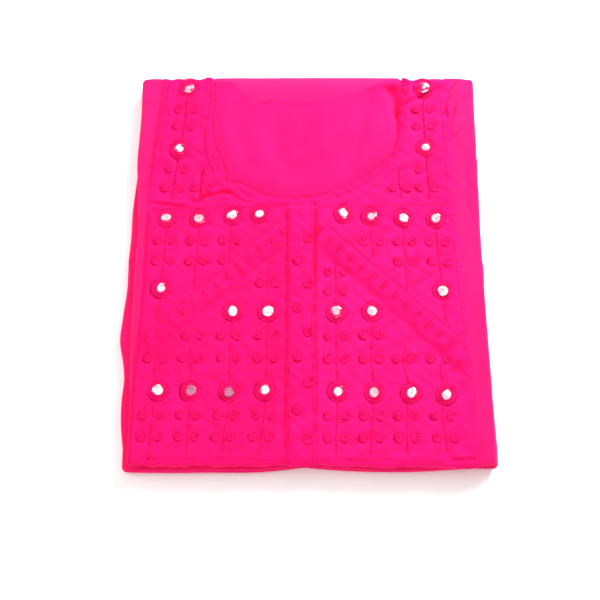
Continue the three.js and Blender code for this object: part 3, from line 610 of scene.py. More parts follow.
# %% Creases of the front
# Rise and width in millimetres, then the path.
SHARED_CREASES = [
    # The seam of the left strap, and the pinched fold from it up to the neck.
    (-1.7, 1.2, [(-136, 52.8), (-130.9, 52.0), (-120.6, 50.7), (-106.4, 48.5), (-100, 47.2)]),
    (-2.3, 1.6, [(-99, 49.4), (-92.2, 53.6), (-88.4, 57.0), (-79.8, 59.1), (-69.3, 61.8), (-58, 60.4)]),
    (-1.2, 1.4, [(-70, 63.0), (-61, 57.8), (-54, 53.4), (-44, 50.0)]),
    (0.6, 4.6, [(-92, 43), (-76, 48), (-61, 50.5), (-50, 45)]),
    (-2.0, 2.0, [(-83, 94), (-86.2, 90), (-89.2, 85.3), (-90.6, 77.5), (-91.5, 66.4), (-91.2, 54),
                 (-91, 49)]),
    (-0.5, 1.6, [(-88, 92), (-82, 80), (-76.5, 68)]),
    (0.7, 2.0, [(-84, 92), (-79, 80), (-74, 68)]),
    (-0.5, 1.8, [(-104, 63), (-101, 56), (-94, 50.5)]),
    (-0.6, 3.0, [(-103, 82), (-100, 70), (-97, 58)]),
    (-1.0, 1.2, [(-122, 103), (-120.3, 100), (-117.6, 94.8), (-112.6, 91.3), (-112, 84)]),
    (-0.8, 0.9, [(-111.5, 49), (-109.5, 46.8), (-105.5, 42), (-103, 40)]),
    # The folds beside the left of the neck.
    (-0.5, 0.8, [(-89.6, 172), (-91.8, 150), (-93.0, 134), (-93.2, 120), (-92.4, 110)]),
    (-1.3, 0.9, [(-84.6, 172), (-86.1, 146.5), (-87.7, 128.4), (-89.0, 115), (-89.2, 106), (-86.4, 94),
                 (-82.4, 84), (-76, 75), (-71, 69)]),
    (0.4, 2.2, [(-80, 170), (-82, 150), (-83.6, 128), (-84.6, 112), (-82, 96)]),
    # Drag lines from the right shoulder to the side.
    (-2.6, 1.4, [(138.5, 173), (136.4, 170), (128.2, 155.6), (124.6, 146.3), (124.2, 141), (125.7, 133),
                 (127, 129)]),
    (-1.9, 1.2, [(134.6, 146), (132.7, 140.2), (129.3, 128.6), (126.6, 120.3), (125.2, 115)]),
    (-1.8, 1.1, [(140, 123.6), (136.9, 120.3), (130.9, 113.1), (126.4, 107), (124.6, 104)]),
    (1.4, 3.0, [(144, 162), (137, 150), (133, 137)]),
    (1.0, 3.0, [(142, 134), (137, 126), (132, 115)]),
    (-1.0, 2.8, [(146, 100), (141, 84), (138, 66)]),
    (-0.9, 2.4, [(145, 72), (141, 58), (139.5, 42)]),
    (0.4, 5.0, [(141, 20), (139, -12), (141, -44)]),
    (-0.4, 3.4, [(143, -50), (140.5, -76), (142, -104)]),
    (-0.5, 0.8, [(118.8, 172), (119.2, 160), (119.6, 148), (121.0, 128), (121.5, 107), (122.2, 90),
                 (122.6, 64)]),
    # The right strap tips back towards the shoulder above a slanting line.
    (-1.6, 1.4, [(82, 139), (86, 144.3), (95, 149.5), (103.2, 154), (112, 157.8), (118, 162), (122, 168),
                 (125, 175)]),
    (1.3, 3.6, [(91, 142), (92.6, 150), (94, 158), (95, 167)]),
    (0.9, 5.0, [(100, 158), (104, 166), (108, 176)]),
    (0.8, 4.0, [(90, 137), (101, 144), (113, 148.5)]),
    # Two lines down the left strap, inside its edge, and the margin beside it.
    (-0.5, 0.9, [(-122.0, 176), (-122.6, 168.5), (-124.3, 150.8), (-126.4, 131.2), (-129.7, 116.3),
                 (-131, 107.6), (-132.7, 94.7), (-133.6, 82), (-134.2, 62)]),
    (-0.8, 0.9, [(-118.0, 176), (-118.5, 169.4), (-119.8, 150.8), (-122.4, 133), (-124.9, 118),
                 (-127.5, 101), (-129.2, 84.5), (-130.6, 70.6), (-131.4, 58)]),
    (0.5, 3.4, [(-139, 150), (-141, 120), (-142, 92)]),
    (-0.5, 3.4, [(-138, 108), (-140.2, 80), (-140.4, 52)]),
    (0.4, 4.0, [(-141, 30), (-142, -4), (-141.4, -36)]),
    (-0.5, 4.6, [(-112, 168), (-115, 150), (-117, 132)]),
    # The seams on both sides of the placket.
    (-1.5, 1.2, [(8.6, 57), (8.2, 30), (7.9, 10), (7.6, -20)]),
    (-1.6, 1.2, [(8.2, 30), (7.6, -20), (7.5, -60), (7.6, -120), (7.8, -150), (7.8, -182)]),
    (-1.0, 1.3, [(-16.4, 60), (-16.4, 30), (-16.2, 0), (-16.2, -30)]),
    (-1.2, 1.3, [(-16.4, 30), (-16.2, -60), (-16.8, -120), (-17.4, -150), (-17.4, -182)]),
    # The lower yoke: shallow, uneven hollows beside the columns of embroidery.
    (-1.1, 4.2, [(-139, -128), (-134, -141), (-129, -152), (-130, -162)]),
    (-1.0, 3.2, [(-76, -134), (-71, -146), (-69, -162)]),
    (-1.0, 3.4, [(-46, -124), (-41, -138), (-41, -156)]),
    (-0.8, 3.2, [(-108, -94), (-103, -112), (-101, -128)]),
    (-0.9, 3.8, [(-79, -92), (-74, -108), (-70, -124)]),
    (-0.8, 3.6, [(-53, -68), (-48, -86), (-46, -102)]),
    (0.7, 6.0, [(-84, 22), (-80, 4), (-78, -14)]),
    (-0.8, 3.8, [(-103, 8), (-101, -8), (-96, -24)]),
    (-0.7, 3.6, [(-108, 34), (-102, 22), (-99, 8)]),
    (0.7, 6.5, [(-110, -120), (-112, -140), (-112, -158)]),
    (0.6, 5.0, [(-50, 12), (-46, -2), (-50, -16)]),
    (-0.6, 3.4, [(-44, -52), (-41, -66), (-43, -82)]),
    (0.6, 6.0, [(-16, -20), (-18, -60), (-17, -104)]),
    (-1.0, 2.4, [(-17, -112), (-16.2, -138), (-16.8, -164)]),
    (-0.6, 4.0, [(64, 28), (68, 6), (71, -14)]),
    (0.6, 6.5, [(40, -60), (42, -86), (40, -106)]),
    (-0.6, 4.0, [(94, -64), (98, -86), (96, -104)]),
    (-0.6, 3.4, [(66, -118), (69, -138), (67, -158)]),
    (0.5, 6.0, [(98, -122), (96, -142), (97, -158)]),
    (-0.6, 3.6, [(123, -90), (127, -112), (124, -134)]),
    (-0.5, 3.2, [(12, -20), (14, -58), (13, -98)]),
    (0.5, 5.0, [(98, 22), (102, 6), (99, -14)]),
    (-0.5, 3.0, [(36, 22), (34, 2), (37, -18)]),
    # The hem's turn pulls along the bottom fold.
    (-1.6, 1.3, [(112, -166.4), (119, -166.2), (128, -166.0), (138, -165.6)]),
    (-0.7, 1.2, [(14, -166.6), (60, -167.2), (104, -166.4)]),
    (-0.5, 0.9, [(-138, -165.4), (-100, -166.2), (-60, -166.0), (-20, -165.6)]),
    (-1.2, 0.9, [(140.6, -148), (140.8, -158), (141.0, -168), (141.2, -176)]),
]
# A pinched fold lifts the pieces on both sides of it.
PINCH_LINE = ((-97, 47), (-66, 60))
PINCH_REACH, PINCH_RISE = 15, 1.1
print(len(SHARED_CREASES), "creases shared by all the cloth on the front")

# %% [markdown]
# ## Cloth drawn in by stitches
# Embroidery draws its cloth in. Along a stem the cloth is held down in a valley, and between the stems it
# stands up in soft lumps of no fixed size. A few crossed waves with slowly bent crests make lumps that don't
# repeat. They end at the sides of the yoke, where the sewing ends.

# %% Quilting
# How far from a stem its valley can still be felt.
STEM_REACH = 12


def from_stems(x, y):
    """Distance to the nearest stem, and a large one where none is close."""
    off = np.full(np.shape(x), 99.0)
    for path in STEMS:
        (x0, y0), (x1, y1) = np.min(path, axis=0) - STEM_REACH, np.max(path, axis=0) + STEM_REACH
        close = (x > x0) & (x < x1) & (y > y0) & (y < y1)
        if close.any():
            distance, _ = beside(path, x[close], y[close])
            off[close] = np.minimum(off[close], abs(distance))
    return off


def quilting(x, y):
    """Valleys along the stems and soft lumps between them, on the yoke only."""
    uneven = 0.72 + 0.28 * np.sin(y * 0.16 + 2.4 * np.sin(x * 0.07) + x * 0.05)
    valley = -0.55 * uneven * np.exp(-((from_stems(x, y) / 4.4) ** 2))
    a = np.sin(x * 0.36 + 1.7 * np.sin(y * 0.19 + 0.4)) * np.sin(y * 0.33 + 1.5 * np.sin(x * 0.13 + 1.1))
    b = np.sin(x * 0.17 - y * 0.23 + 2.0 * np.sin(y * 0.07 + x * 0.03))
    left, right = (np.interp(y, YOKE_EDGES[:, 0], YOKE_EDGES[:, column]) for column in COLUMN.values())
    sewn_part = ease((x - left) / 8) * ease((right - x) / 8)
    return sewn_part * (valley + 0.56 * a + 0.46 * b)


def relief(x, y):
    """Creases, the pinch and the quilting, shared by all the cloth on the front."""
    off, _ = beside(PINCH_LINE, x, y)
    return creases(x, y, SHARED_CREASES) + PINCH_RISE * np.exp(-2 * (off / PINCH_REACH) ** 2) + quilting(x, y)


print("the cloth rises and sinks by up to a millimetre between the stems")

# %% [markdown]
# ## Cloth inside the neck
# Inside the neck nothing holds the layers down, so they puff up towards the opening and have long soft folds
# of their own. Under the front the same creases may only sink, because there is no room for them to rise.
# The far right corner stays low: there the cloth is drawn back, and a dark hollow shows beside the binding.

# %% Inside the neck
# How far the layers inside the neck rise above their place under the front: at once, and in all.
NECK_STEP = 1.3
NECK_PUFF = 3.0
# Rise and width in millimetres, then the path.
NECK_CREASES = [
    (-2.0, 7.0, [(58, 170), (55.5, 152), (51.5, 135), (46, 108), (38, 84), (33, 66)]),
    (1.1, 9.0, [(14, 150), (18, 128), (19, 112), (15, 92)]),
    (0.8, 6.0, [(-25, 92), (-27, 78), (-26, 68)]),
    (-0.8, 5.0, [(2, 140), (-2, 116), (-8, 94)]),
    (-0.7, 7.0, [(-18, 142), (-26, 112), (-22, 82)]),
    (-0.7, 6.0, [(-52, 160), (-60, 124), (-52, 92), (-40, 72)]),
    (0.6, 7.0, [(-38, 128), (-42, 104), (-34, 84)]),
    (-0.6, 5.0, [(70, 150), (72, 126), (64, 104)]),
    (-1.3, 1.4, [(-45, 142.6), (-38.5, 144.4), (-31, 147.8), (-24.6, 152)]),
    (-1.0, 1.3, [(-48, 149.0), (-41, 146.6), (-35, 147.2)]),
    (-5.5, 5.4, [(77.4, 171), (78.6, 160), (81.2, 147), (84.2, 130)]),
    (-1.6, 2.4, [(82, 160), (81.6, 142), (81.0, 124), (79, 108), (74, 96)]),
]


def inside_neck(x, y):
    """Distance inside the neck's edge, negative out on the cloth."""
    distance, _ = beside(neck_middle[::4], x, y)
    return distance


def hidden_creases(x, y):
    """Creases and puff of the layers that are seen through the neck."""
    within = inside_neck(x, y)
    before_fold = 1 - ease((y - 160) / 7)
    lift = creases(x, y, NECK_CREASES)
    lift = np.where(lift > 0, lift * ease((within - 1) / 8), lift) * before_fold
    far_right = ease((x - 36) / 36) * ease((y - 116) / 36) * before_fold
    swell = (NECK_PUFF - NECK_STEP) * ease((within - 1) / 12) * (1 - ease((y - 126) / 48))
    puff = (NECK_STEP * ease((within - 0.7) / 1.8) + swell) * (1 - 0.8 * far_right)
    return relief(x, y) - quilting(x, y) * ease((within + 1) / 4) + lift + puff


print(len(NECK_CREASES), "creases inside the neck")

# %% [markdown]
# ## Making a wall of cloth
# Each piece of cloth is a closed thin wall: a net of points for its upper face, the same net again for its
# lower face, and a row of quads round the rim. Near the rim the upper face curves down and the lower one
# curves up, so an edge looks turned and pressed and not cut from board. Meshes are built from arrays, which
# is much quicker than adding points one at a time.

# %% Mesh tools


def make_piece(name, points, faces, material, nodes):
    """A piece made of points in millimetres. A face with its last corner twice is a triangle."""
    mesh = bpy.data.meshes.new(name)
    faces = np.asarray(faces, np.int32)
    mesh.vertices.add(len(points))
    mesh.vertices.foreach_set("co", (np.asarray(points, float) * MM).ravel())
    corners = np.ones((len(faces), 4), bool)
    corners[:, 3] = faces[:, 3] != faces[:, 2]
    size = corners.sum(axis=1)
    mesh.loops.add(int(size.sum()))
    mesh.polygons.add(len(faces))
    mesh.polygons.foreach_set("loop_start", (np.cumsum(size) - size).astype(np.int32))
    mesh.loops.foreach_set("vertex_index", faces[corners])
    mesh.update(calc_edges=True)
    mesh.validate()
    mesh.polygons.foreach_set("use_smooth", np.ones(len(mesh.polygons), bool))
    mesh.materials.append(material)
    piece = bpy.data.objects.new(name, mesh)
    bpy.context.collection.objects.link(piece)
    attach(piece, "root")
    if nodes:
        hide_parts(*nodes)
    return piece


def fan(first, count, pole, above):
    """Triangles from a ring of points to one point, above or below it."""
    here = np.arange(count)
    after = (here + 1) % count
    a, b = (here, after) if above else (after, here)
    return np.stack([first + a, first + b, np.full(count, pole), np.full(count, pole)], axis=-1)


def tube(rings, count, first=0):
    """Faces between rings of points that lie one above another, each closed round."""
    here = np.arange(count)
    after = (here + 1) % count
    low = first + count * np.arange(rings - 1)[:, None]
    high = low + count
    return np.stack([low + here, low + after, high + after, high + here], axis=-1).reshape(-1, 4)


def net_faces(keep):
    """Corner numbers of the kept cells of a net, anticlockwise from above, and its rim edges."""
    rows, columns = keep.shape
    number = np.arange((rows + 1) * (columns + 1)).reshape(rows + 1, columns + 1)
    a, b = number[:-1, :-1], number[:-1, 1:]
    c, d = number[1:, 1:], number[1:, :-1]
    cells = np.stack([a, b, c, d], axis=-1)[keep]
    padded = np.pad(keep, 1)
    near = keep & ~padded[:-2, 1:-1]
    far = keep & ~padded[2:, 1:-1]
    left = keep & ~padded[1:-1, :-2]
    right = keep & ~padded[1:-1, 2:]
    sides = [(near, a, b), (right, b, c), (far, c, d), (left, d, a)]
    rim = np.concatenate([np.stack([p[edge], q[edge]], axis=-1) for edge, p, q in sides])
    return cells, rim


# Distances from a rim of the rows that round it off, how round it gets, and the least thickness left there.
RIM = np.array([0.0, 0.1, 0.25, 0.5])
ROUNDNESS = 0.94
THINNEST = 0.04


def rounding(off, half):
    """How much a face gives way to a rounded rim, at a distance from the edge."""
    t = np.clip(1 - off / RIM[-1], 0, 1)
    return half * (1 - np.sqrt(np.clip(1 - t * t, 0, 1))) * ROUNDNESS


def wall(name, x, y, level, off, material, node, fine=0.0, lift=None, keep=None, rim=(0.0, 0.0, 1.0)):
    """A closed wall of cloth over a net of places, between two levels.

    off is the distance to the rim, fine changes the upper face only and lift moves both. rim says how far the
    rim comes down onto the cloth below, how much thinner it is pressed, and how far in that reaches.
    """
    low, high = level
    settle, press, reach = rim
    lift = relief(x, y) if lift is None else lift
    near_rim = 1 - ease(off / reach)
    give = rounding(off, (high - low - press * near_rim) / 2)
    top = high + lift + fine - (settle + press) * near_rim - give
    bottom = low + lift - settle * near_rim + give
    upper = lay(x, y, np.maximum(top, bottom + THINNEST))
    lower = lay(x, y, bottom)
    cells, edges = net_faces(np.ones(np.subtract(x.shape, 1), bool) if keep is None else keep)
    a, b = edges.T
    sides = np.stack([b, a, a + x.size, b + x.size], axis=-1)
    faces = np.concatenate([cells, cells[:, ::-1] + x.size, sides])
    points = np.concatenate([upper.reshape(-1, 3), lower.reshape(-1, 3)])
    used, faces = np.unique(faces, return_inverse=True)
    return make_piece(name, points[used], faces.reshape(-1, 4), material, [node])


# %% [markdown]
# ## Measuring a net
# A net needs close rows at its rims and wide ones between them. Its own lines give two more things: how far
# each point is from the rim, which shapes the edge, and how large the cloth was before it was folded, which
# is what a cutter would want to know.

# %% Net tools


def span(start, stop, step):
    """Even places from one to another, about a step apart."""
    return np.linspace(start, stop, max(1, int(round((stop - start) / step))) + 1)


def stations(total, step):
    """Distances from one rim to the other, close together near both rims."""
    inner = max(2, int(round((np.min(total) - 2 * RIM[-1]) / step)))
    t = np.linspace(0, 1, inner + 1)
    total = np.asarray(total, float)[..., None]
    middle = RIM[-1] + t * (total - 2 * RIM[-1])
    first = np.broadcast_to(RIM[:-1], (*total.shape[:-1], len(RIM) - 1))
    return np.concatenate([first, middle, total - first[..., ::-1]], axis=-1)


def run_along(x, y, axis):
    """Distance of each place of a net from the first edge, measured along the net's lines."""
    steps = np.hypot(np.diff(x, axis=axis), np.diff(y, axis=axis))
    return np.insert(np.cumsum(steps, axis=axis), 0, 0, axis=axis)


def rim_distance(x, y, skip=None):
    """Distance of each place of a net to the net's own nearest edge, or to all but one of them."""
    across, along = run_along(x, y, 1), run_along(x, y, 0)
    ends = {"left": across, "right": across[:, -1:] - across, "near": along, "far": along[-1:] - along}
    return np.minimum.reduce([distance for edge, distance in ends.items() if edge != skip])


def flat_area(x, y, keep=None):
    """The area that a net covers before it was folded, in square metres."""
    dx1, dy1 = x[1:, 1:] - x[:-1, :-1], y[1:, 1:] - y[:-1, :-1]
    dx2, dy2 = x[1:, :-1] - x[:-1, 1:], y[1:, :-1] - y[:-1, 1:]
    cell = abs(dx1 * dy2 - dx2 * dy1) / 2
    return float((cell if keep is None else cell[keep]).sum()) * MM * MM


def note_cut(piece, size, area):
    """Prints the flat size of a piece."""
    print(f"{piece.name}: cut {size[0]:.3f} x {size[1]:.3f} m, {area * 1e4:.0f} square cm")


def note_net(piece, x, y, keep=None):
    """The same, with the size read from the piece's own net."""
    size = (float(np.ptp(x)) * MM, float(np.ptp(y)) * MM)
    note_cut(piece, size, flat_area(x, y, keep))


# %% [markdown]
# ## Cotton
# The cloth is a plain-woven cotton dyed a strong pink. Two crossed waves give its weave, a stretched noise
# gives the thicker yarns that such cloth has, and a broad noise varies the dye a little. Its shine is very
# low, because at this strength of colour any white shine shows at once as a bloom. Only a thin sheen is left,
# which lightens the cloth where it turns away at the folds. The ground, the cloth inside the neck and the
# strips differ by a shade, as they do once cloth is sewn, pressed and handled. The two halves of the yoke are
# one cotton with painted light and shade: the left half is painted a shade darker and the right half a shade
# lighter, as the light that comes from the right would make them.

# %% Cotton
COTTON_ROUGHNESS = 0.86


def cotton(name, dark, light, sheen, weave=0.5):
    """Plain-woven cotton. weave is the width of one thread in millimetres."""
    material, shader, place = new_material(name)
    crossed = maths("MULTIPLY", *(waves(place, axis, 2 * weave * MM, 0.6, 0.0) for axis in "XY"))
    stretch = add_node(place.id_data, "ShaderNodeMapping", Vector=place, Scale=(1.0, 9.0, 1.0))
    slub = noise(stretch.outputs["Vector"], 90.0, 3.0)
    dye = maths("MULTIPLY_ADD", slub, 0.35, noise(place, 24.0, 4.0, 0.6))
    middle = (np.array(dark) + light) / 2
    fuzz = noise(place, 700.0, 2.0)
    feed(shader, {
        "Base Color": ramp(dye, (0.48, dark), (0.68, middle), (0.88, light)),
        "Roughness": ramp(fuzz, (0.3, COTTON_ROUGHNESS - 0.06), (0.7, COTTON_ROUGHNESS + 0.06)),
        "Normal": bump(slub, 0.3, 0.0003, bump(crossed, 0.35, 0.00012)),
        "Specular IOR Level": 0.1,
        "Sheen Weight": sheen,
        "Sheen Roughness": 0.45,
        "Sheen Tint": (1.0, 0.55, 0.72, 1),
    })
    return material


ground_cotton = cotton("ground_cotton", (0.80, 0.0034, 0.114), (0.86, 0.0060, 0.136), 0.2)
inner_cotton = cotton("inner_cotton", (0.82, 0.0022, 0.116), (0.88, 0.0040, 0.136), 0.06)
trim_cotton = cotton("trim_cotton", (0.81, 0.0010, 0.112), (0.86, 0.0022, 0.136), 0.05, 0.4)
# Painted shade and painted light: the left half of the yoke is a darker copy, and the right half a lighter
# copy, of one cotton.
YOKE_COTTONS = {
    "left": cotton("left_yoke_cotton", (0.80, 0.0010, 0.105), (0.86, 0.0022, 0.135), 0.05, 0.45),
    "right": cotton("right_yoke_cotton", (0.81, 0.0018, 0.119), (0.86, 0.0034, 0.149), 0.06, 0.45),
}
print("five shades of one pink cotton")

# %% [markdown]
# ## Thread
# The embroidery is a twisted rayon thread of the same dye as the cloth, so its darker colours are painted
# shade. The stem thread, which sews the stems on the straps, the seams and the crescents on the shaded side
# of the curls and the rings, is painted much darker than the cloth for the shade in the grooves; the
# embroidery thread is painted darker too, for the shade round the raised stems and curls. The thick rings
# round the mirrors are lighter, nearly the colour of the cloth. The twist is a fine slanting wave that
# roughens the thread and lifts it a little.

# %% Thread
THREAD_ROUGHNESS = 0.5


def thread(name, dark, light, shine, twist=0.45):
    """Twisted rayon thread. twist is the length of one turn in millimetres."""
    material, shader, place = new_material(name)
    turns = waves(place, "DIAGONAL", twist * MM * math.sqrt(3), 1.5)
    feed(shader, {
        "Base Color": ramp(noise(place, 260.0, 2.0), (0.35, dark), (0.65, light)),
        "Roughness": ramp(turns, (0.2, THREAD_ROUGHNESS - 0.08), (0.8, THREAD_ROUGHNESS + 0.08)),
        "Normal": bump(turns, 0.4, 0.00012),
        "Specular IOR Level": shine,
        "Sheen Weight": 0.02,
        "Sheen Roughness": 0.4,
        "Sheen Tint": (1.0, 0.6, 0.76, 1),
    })
    return material


# Painted shade: the embroidery thread and the stem thread are darker copies of the cloth's pink.
shade_dark_embroidery_thread = thread("shade_dark_embroidery_thread", (0.58, 0.0014, 0.086), (0.68, 0.0026, 0.110), 0.05)
shade_dark_stem_thread = thread("shade_dark_stem_thread", (0.46, 0.0010, 0.062), (0.54, 0.0018, 0.078), 0.03)
ring_thread = thread("ring_thread", (0.74, 0.0018, 0.108), (0.82, 0.0032, 0.134), 0.08)
sewing_thread = thread("sewing_thread", (0.78, 0.0048, 0.140), (0.86, 0.0080, 0.172), 0.1, 0.35)
print("four kinds of thread, the lightest for the right edge of the yoke")

# %% [markdown]
# ## Glass
# The mirrors are cut by hand from thin silvered glass. New ones are bright and worn ones are dull. Every
# glass colour is tinted pink, the third kind most of all: that pink is a painted reflection of the pink cloth
# round the mirrors. Otherwise a fully metallic surface reflects what is round it, a noise in its colour is
# the haze, and a slight bump bends the picture in it.

# %% Glass


def mirror_glass(name, clear, tint, roughness):
    """Silvered glass, with the specks and the haze of a hand-cut piece, tinted pink as a painted reflection
    of the cloth round it.
    """
    material, shader, place = new_material(name)
    haze = noise(place, 190.0, 2.0)
    feed(shader, {
        "Base Color": ramp(haze, (0.43, tint), (0.5, clear)),
        "Roughness": ramp(haze, (0.35, roughness + 0.08), (0.65, roughness)),
        "Normal": bump(noise(place, 160.0, 1.0), 0.15, 0.0002),
        "Metallic": 1.0,
    })
    return material


GLASSES = {
    # Painted reflection: the pink in all three is the reflected pink of the cloth, strongest in the third.
    "bright": mirror_glass("bright_glass", (0.77, 0.68, 0.73), (0.55, 0.41, 0.47), 0.06),
    "dull": mirror_glass("dull_glass", (0.60, 0.42, 0.47), (0.54, 0.34, 0.40), 0.2),
    "pink_reflection": mirror_glass("pink_reflection_glass", (0.45, 0.17, 0.25), (0.40, 0.12, 0.20), 0.25),
}
print(len(bpy.data.materials), "materials")

# %% [markdown]
# ## Folded layers
# Under the front lie the back, the skirt and the sleeves, folded over and over. From outside only their
# rounded folds show, one above another, so they are one solid: rings of points round the pack, each a step
# further up, that bulge at a fold and draw in between two folds. Slow waves along each fold keep it from
# looking machined. The underside stays flat, because the pack rests on it.

# %% One ring of the folded layers
# Columns: top of the layer, then how much shorter it is at the left, right, near and far side.
LAYERS = [
    (3.5, 0.5, 0.9, 0.7, 0.0),
    (6.3, 0.0, 0.0, 0.0, 0.8),
    (9.6, 1.4, 0.6, 1.0, 0.3),
]
CORNER_RADIUS = 5
CORNER_ANGLES = np.radians(np.linspace(0, 90, 10)[1:-1])
NET_X = np.linspace(-CORNER_X, CORNER_X, 78)
NET_Y = np.linspace(-CORNER_Y, CORNER_Y, 90)
# The top ring draws in less at the far side, where it shows between the two straps.
NECK_HALF = 86
NECK_DRAW = 0.4


def spokes(angle):
    """Unit vectors in the directions of some angles."""
    return np.stack([np.cos(angle), np.sin(angle)], axis=1)


def outline(edge, inset, layer=(0, 0, 0, 0)):
    """One ring round the pack. edge is the front's own (0) or the lower layers' (1)."""
    left_short, right_short, near_short, far_short = layer
    near = smooth(ENDS, 1 + edge, NET_X) + near_short + inset
    far_inset = inset * np.where((edge == 0) & (abs(NET_X) < NECK_HALF), NECK_DRAW, 1.0)
    far = smooth(ENDS, 3 + edge, NET_X) - far_short - far_inset
    left = smooth(SIDES, 1 + edge, NET_Y) + left_short + inset
    right = smooth(SIDES, 3 + edge, NET_Y) - right_short - inset
    r = CORNER_RADIUS

    def corner(cx, cy, start):
        return (cx, cy) + CORNER_RADIUS * spokes(CORNER_ANGLES + start)

    return np.vstack([
        np.stack([NET_X, near], axis=1),
        corner(right[0] - r, near[-1] + r, -math.pi / 2),
        np.stack([right, NET_Y], axis=1),
        corner(right[-1] - r, far[-1] - r, 0),
        np.stack([NET_X, far], axis=1)[::-1],
        corner(left[-1] + r, far[0] - r, math.pi / 2),
        np.stack([left, NET_Y], axis=1)[::-1],
        corner(left[0] + r, near[0] + r, math.pi),
    ])


def sway(ring, seed, size):
    """A slow wave along a ring, different for each layer."""
    turn = np.arctan2(ring[:, 1], ring[:, 0])
    total = sum(np.sin((3 + 2 * k) * turn * 1.7 + seed * 2.1 + k * seed) / (1 + 0.5 * k) for k in range(4))
    return size * total / 2


def at_height(ring, z):
    """A ring of places at one height, or at its own height for each place."""
    return np.column_stack([ring, np.broadcast_to(z, len(ring))])


def top_of_layers(x, y):
    return bed(x, y) + CORE_TOP + hidden_creases(x, y)


# %% [markdown]
# ## Stacking the rings
# The lowest layer is one thick fold. The two above it are folded double, so each shows as two plies with a
# shallow groove between them. Over them the rings tuck in under the front panel's turned edge, and then climb
# to the face that the back of the body lies on.

# %% Rings of the folded layers
FOLD_ANGLES = np.radians([-78, -52, -24, 4, 32, 58, 80])
SWAY_OUT, SWAY_UP = 0.35, 0.16
PLY_STEP = 0.25
PLY_GROOVE = 1.1
LAYER_DENT, TOP_DENT = 3.4, 5.0
FOOT_INSET = 1.7

rings = [at_height(outline(1, FOOT_INSET, LAYERS[0][1:]), 0.0)]
base = 0.0
for number, (top, *layer) in enumerate(LAYERS):
    plies = 2 if number else 1
    depth = (top - base) / plies
    for ply in range(plies):
        low = base + (top - base) * ply / plies
        for angle in FOLD_ANGLES:
            ring = outline(1, 0.0, layer)
            inset = depth / 2 * (1 - math.cos(angle)) + PLY_STEP * ply
            wave = sway(ring, number + 0.6 * ply + 1, SWAY_OUT)
            z = low + depth / 2 * (1 + math.sin(angle))
            z = z + (0 if number == 0 and angle < 0 else 1) * sway(ring, number + 4, SWAY_UP)
            moved = outline(1, inset + SWAY_OUT, layer) + (ring - outline(1, 1.0, layer)) * wave[:, None]
            rings.append(at_height(moved, np.maximum(z, 0.0)))
        if ply + 1 < plies:
            rings.append(at_height(outline(1, PLY_GROOVE, layer), low + depth))
    base = top
    ring = outline(1, LAYER_DENT if number + 1 < len(LAYERS) else TOP_DENT, layer)
    rings.append(at_height(ring, top + sway(ring, number + 4, SWAY_UP)))

# Columns: how far in from the front panel's outer face, and how far under its inner face.
TUCKS = [(NOSE - 0.7, 5.9), (NOSE - 0.7, 4.6), (NOSE - 1.7, 3.4), (NOSE - 1.9, 2.5)]
for inset, drop in TUCKS:
    ring = outline(0, inset)
    rings.append(at_height(ring, bed(ring[:, 0], ring[:, 1]) - drop))
ring = outline(0, NOSE - 1.1)
rings.append(at_height(ring, top_of_layers(ring[:, 0], ring[:, 1])))
print(len(rings), "rings of", len(rings[0]), "points")

# %% [markdown]
# ## Closing the folded layers
# A fan of triangles closes the flat underside. The top is a net, because the layers show there above the back
# neckline and need their creases. A strip of faces joins the last ring to the rim of that net.

# %% Folded layers
around = len(rings[0])
middle = len(rings) * around
net_x, net_y = np.meshgrid(NET_X, NET_Y)
net = np.column_stack([net_x.ravel(), net_y.ravel(), top_of_layers(net_x, net_y).ravel()])
points = np.vstack(rings + [np.zeros((1, 3)), net])
number = middle + 1 + np.arange(net_x.size).reshape(net_x.shape)
bend = len(CORNER_ANGLES)
inner = np.concatenate([
    number[0], np.repeat(number[0, -1], bend), number[:, -1], np.repeat(number[-1, -1], bend),
    number[-1, ::-1], np.repeat(number[-1, 0], bend), number[::-1, 0], np.repeat(number[0, 0], bend),
])
after = (np.arange(around) + 1) % around
rim = middle - around
strip = [rim + np.arange(around), rim + after, inner[after], inner]
faces = np.vstack([
    tube(len(rings), around),
    fan(0, around, middle, above=False),
    net_faces(np.ones(np.subtract(net_x.shape, 1), bool))[0] + middle + 1,
    np.stack(strip, axis=1),
])
folded_layers = make_piece("layers_cloth", points, faces, ground_cotton, ["folded_layers"])
whole = outline(1, 0)
size = np.ptp(whole, axis=0) * MM
covered = abs(np.sum(whole[:, 0] * np.roll(whole[:, 1], -1) - np.roll(whole[:, 0], -1) * whole[:, 1])) / 2
note_cut(folded_layers, size.tolist(), float(covered) * MM * MM)

# %% [markdown]
# ## Front of the body
# The front panel is one sheet that wraps all four folded edges. Its net has close rows round each fold and
# where the cloth shows, and wide ones where the yoke hides it. The places between two fold lines are spread
# to suit the width that each row really has.

# %% Net of the front
FOLD_ROWS = 12
folds = FOLD_RADIUS * FOLD_TURN * np.arange(1, FOLD_ROWS + 1) / FOLD_ROWS
column_x = np.concatenate([span(-141, -128, 1.3), span(-125.5, 118, 2.9), span(120, 146, 1.3)])
row_y = np.concatenate([span(-164, -158, 1.2), span(-155.6, 40, 2.9), span(42, 168, 1.9)])


def over_folds(places, margin):
    """Shares of the way between two fold lines and distances beyond them, the rows of both folds included."""
    between = (places - places[0] + margin) / (places[-1] - places[0] + 2 * margin)
    share = np.hstack([np.zeros(FOLD_ROWS + 1), between, np.ones(FOLD_ROWS + 1)])
    beyond = np.hstack([-folds[::-1], np.zeros(len(places) + 2), folds])
    return share, beyond


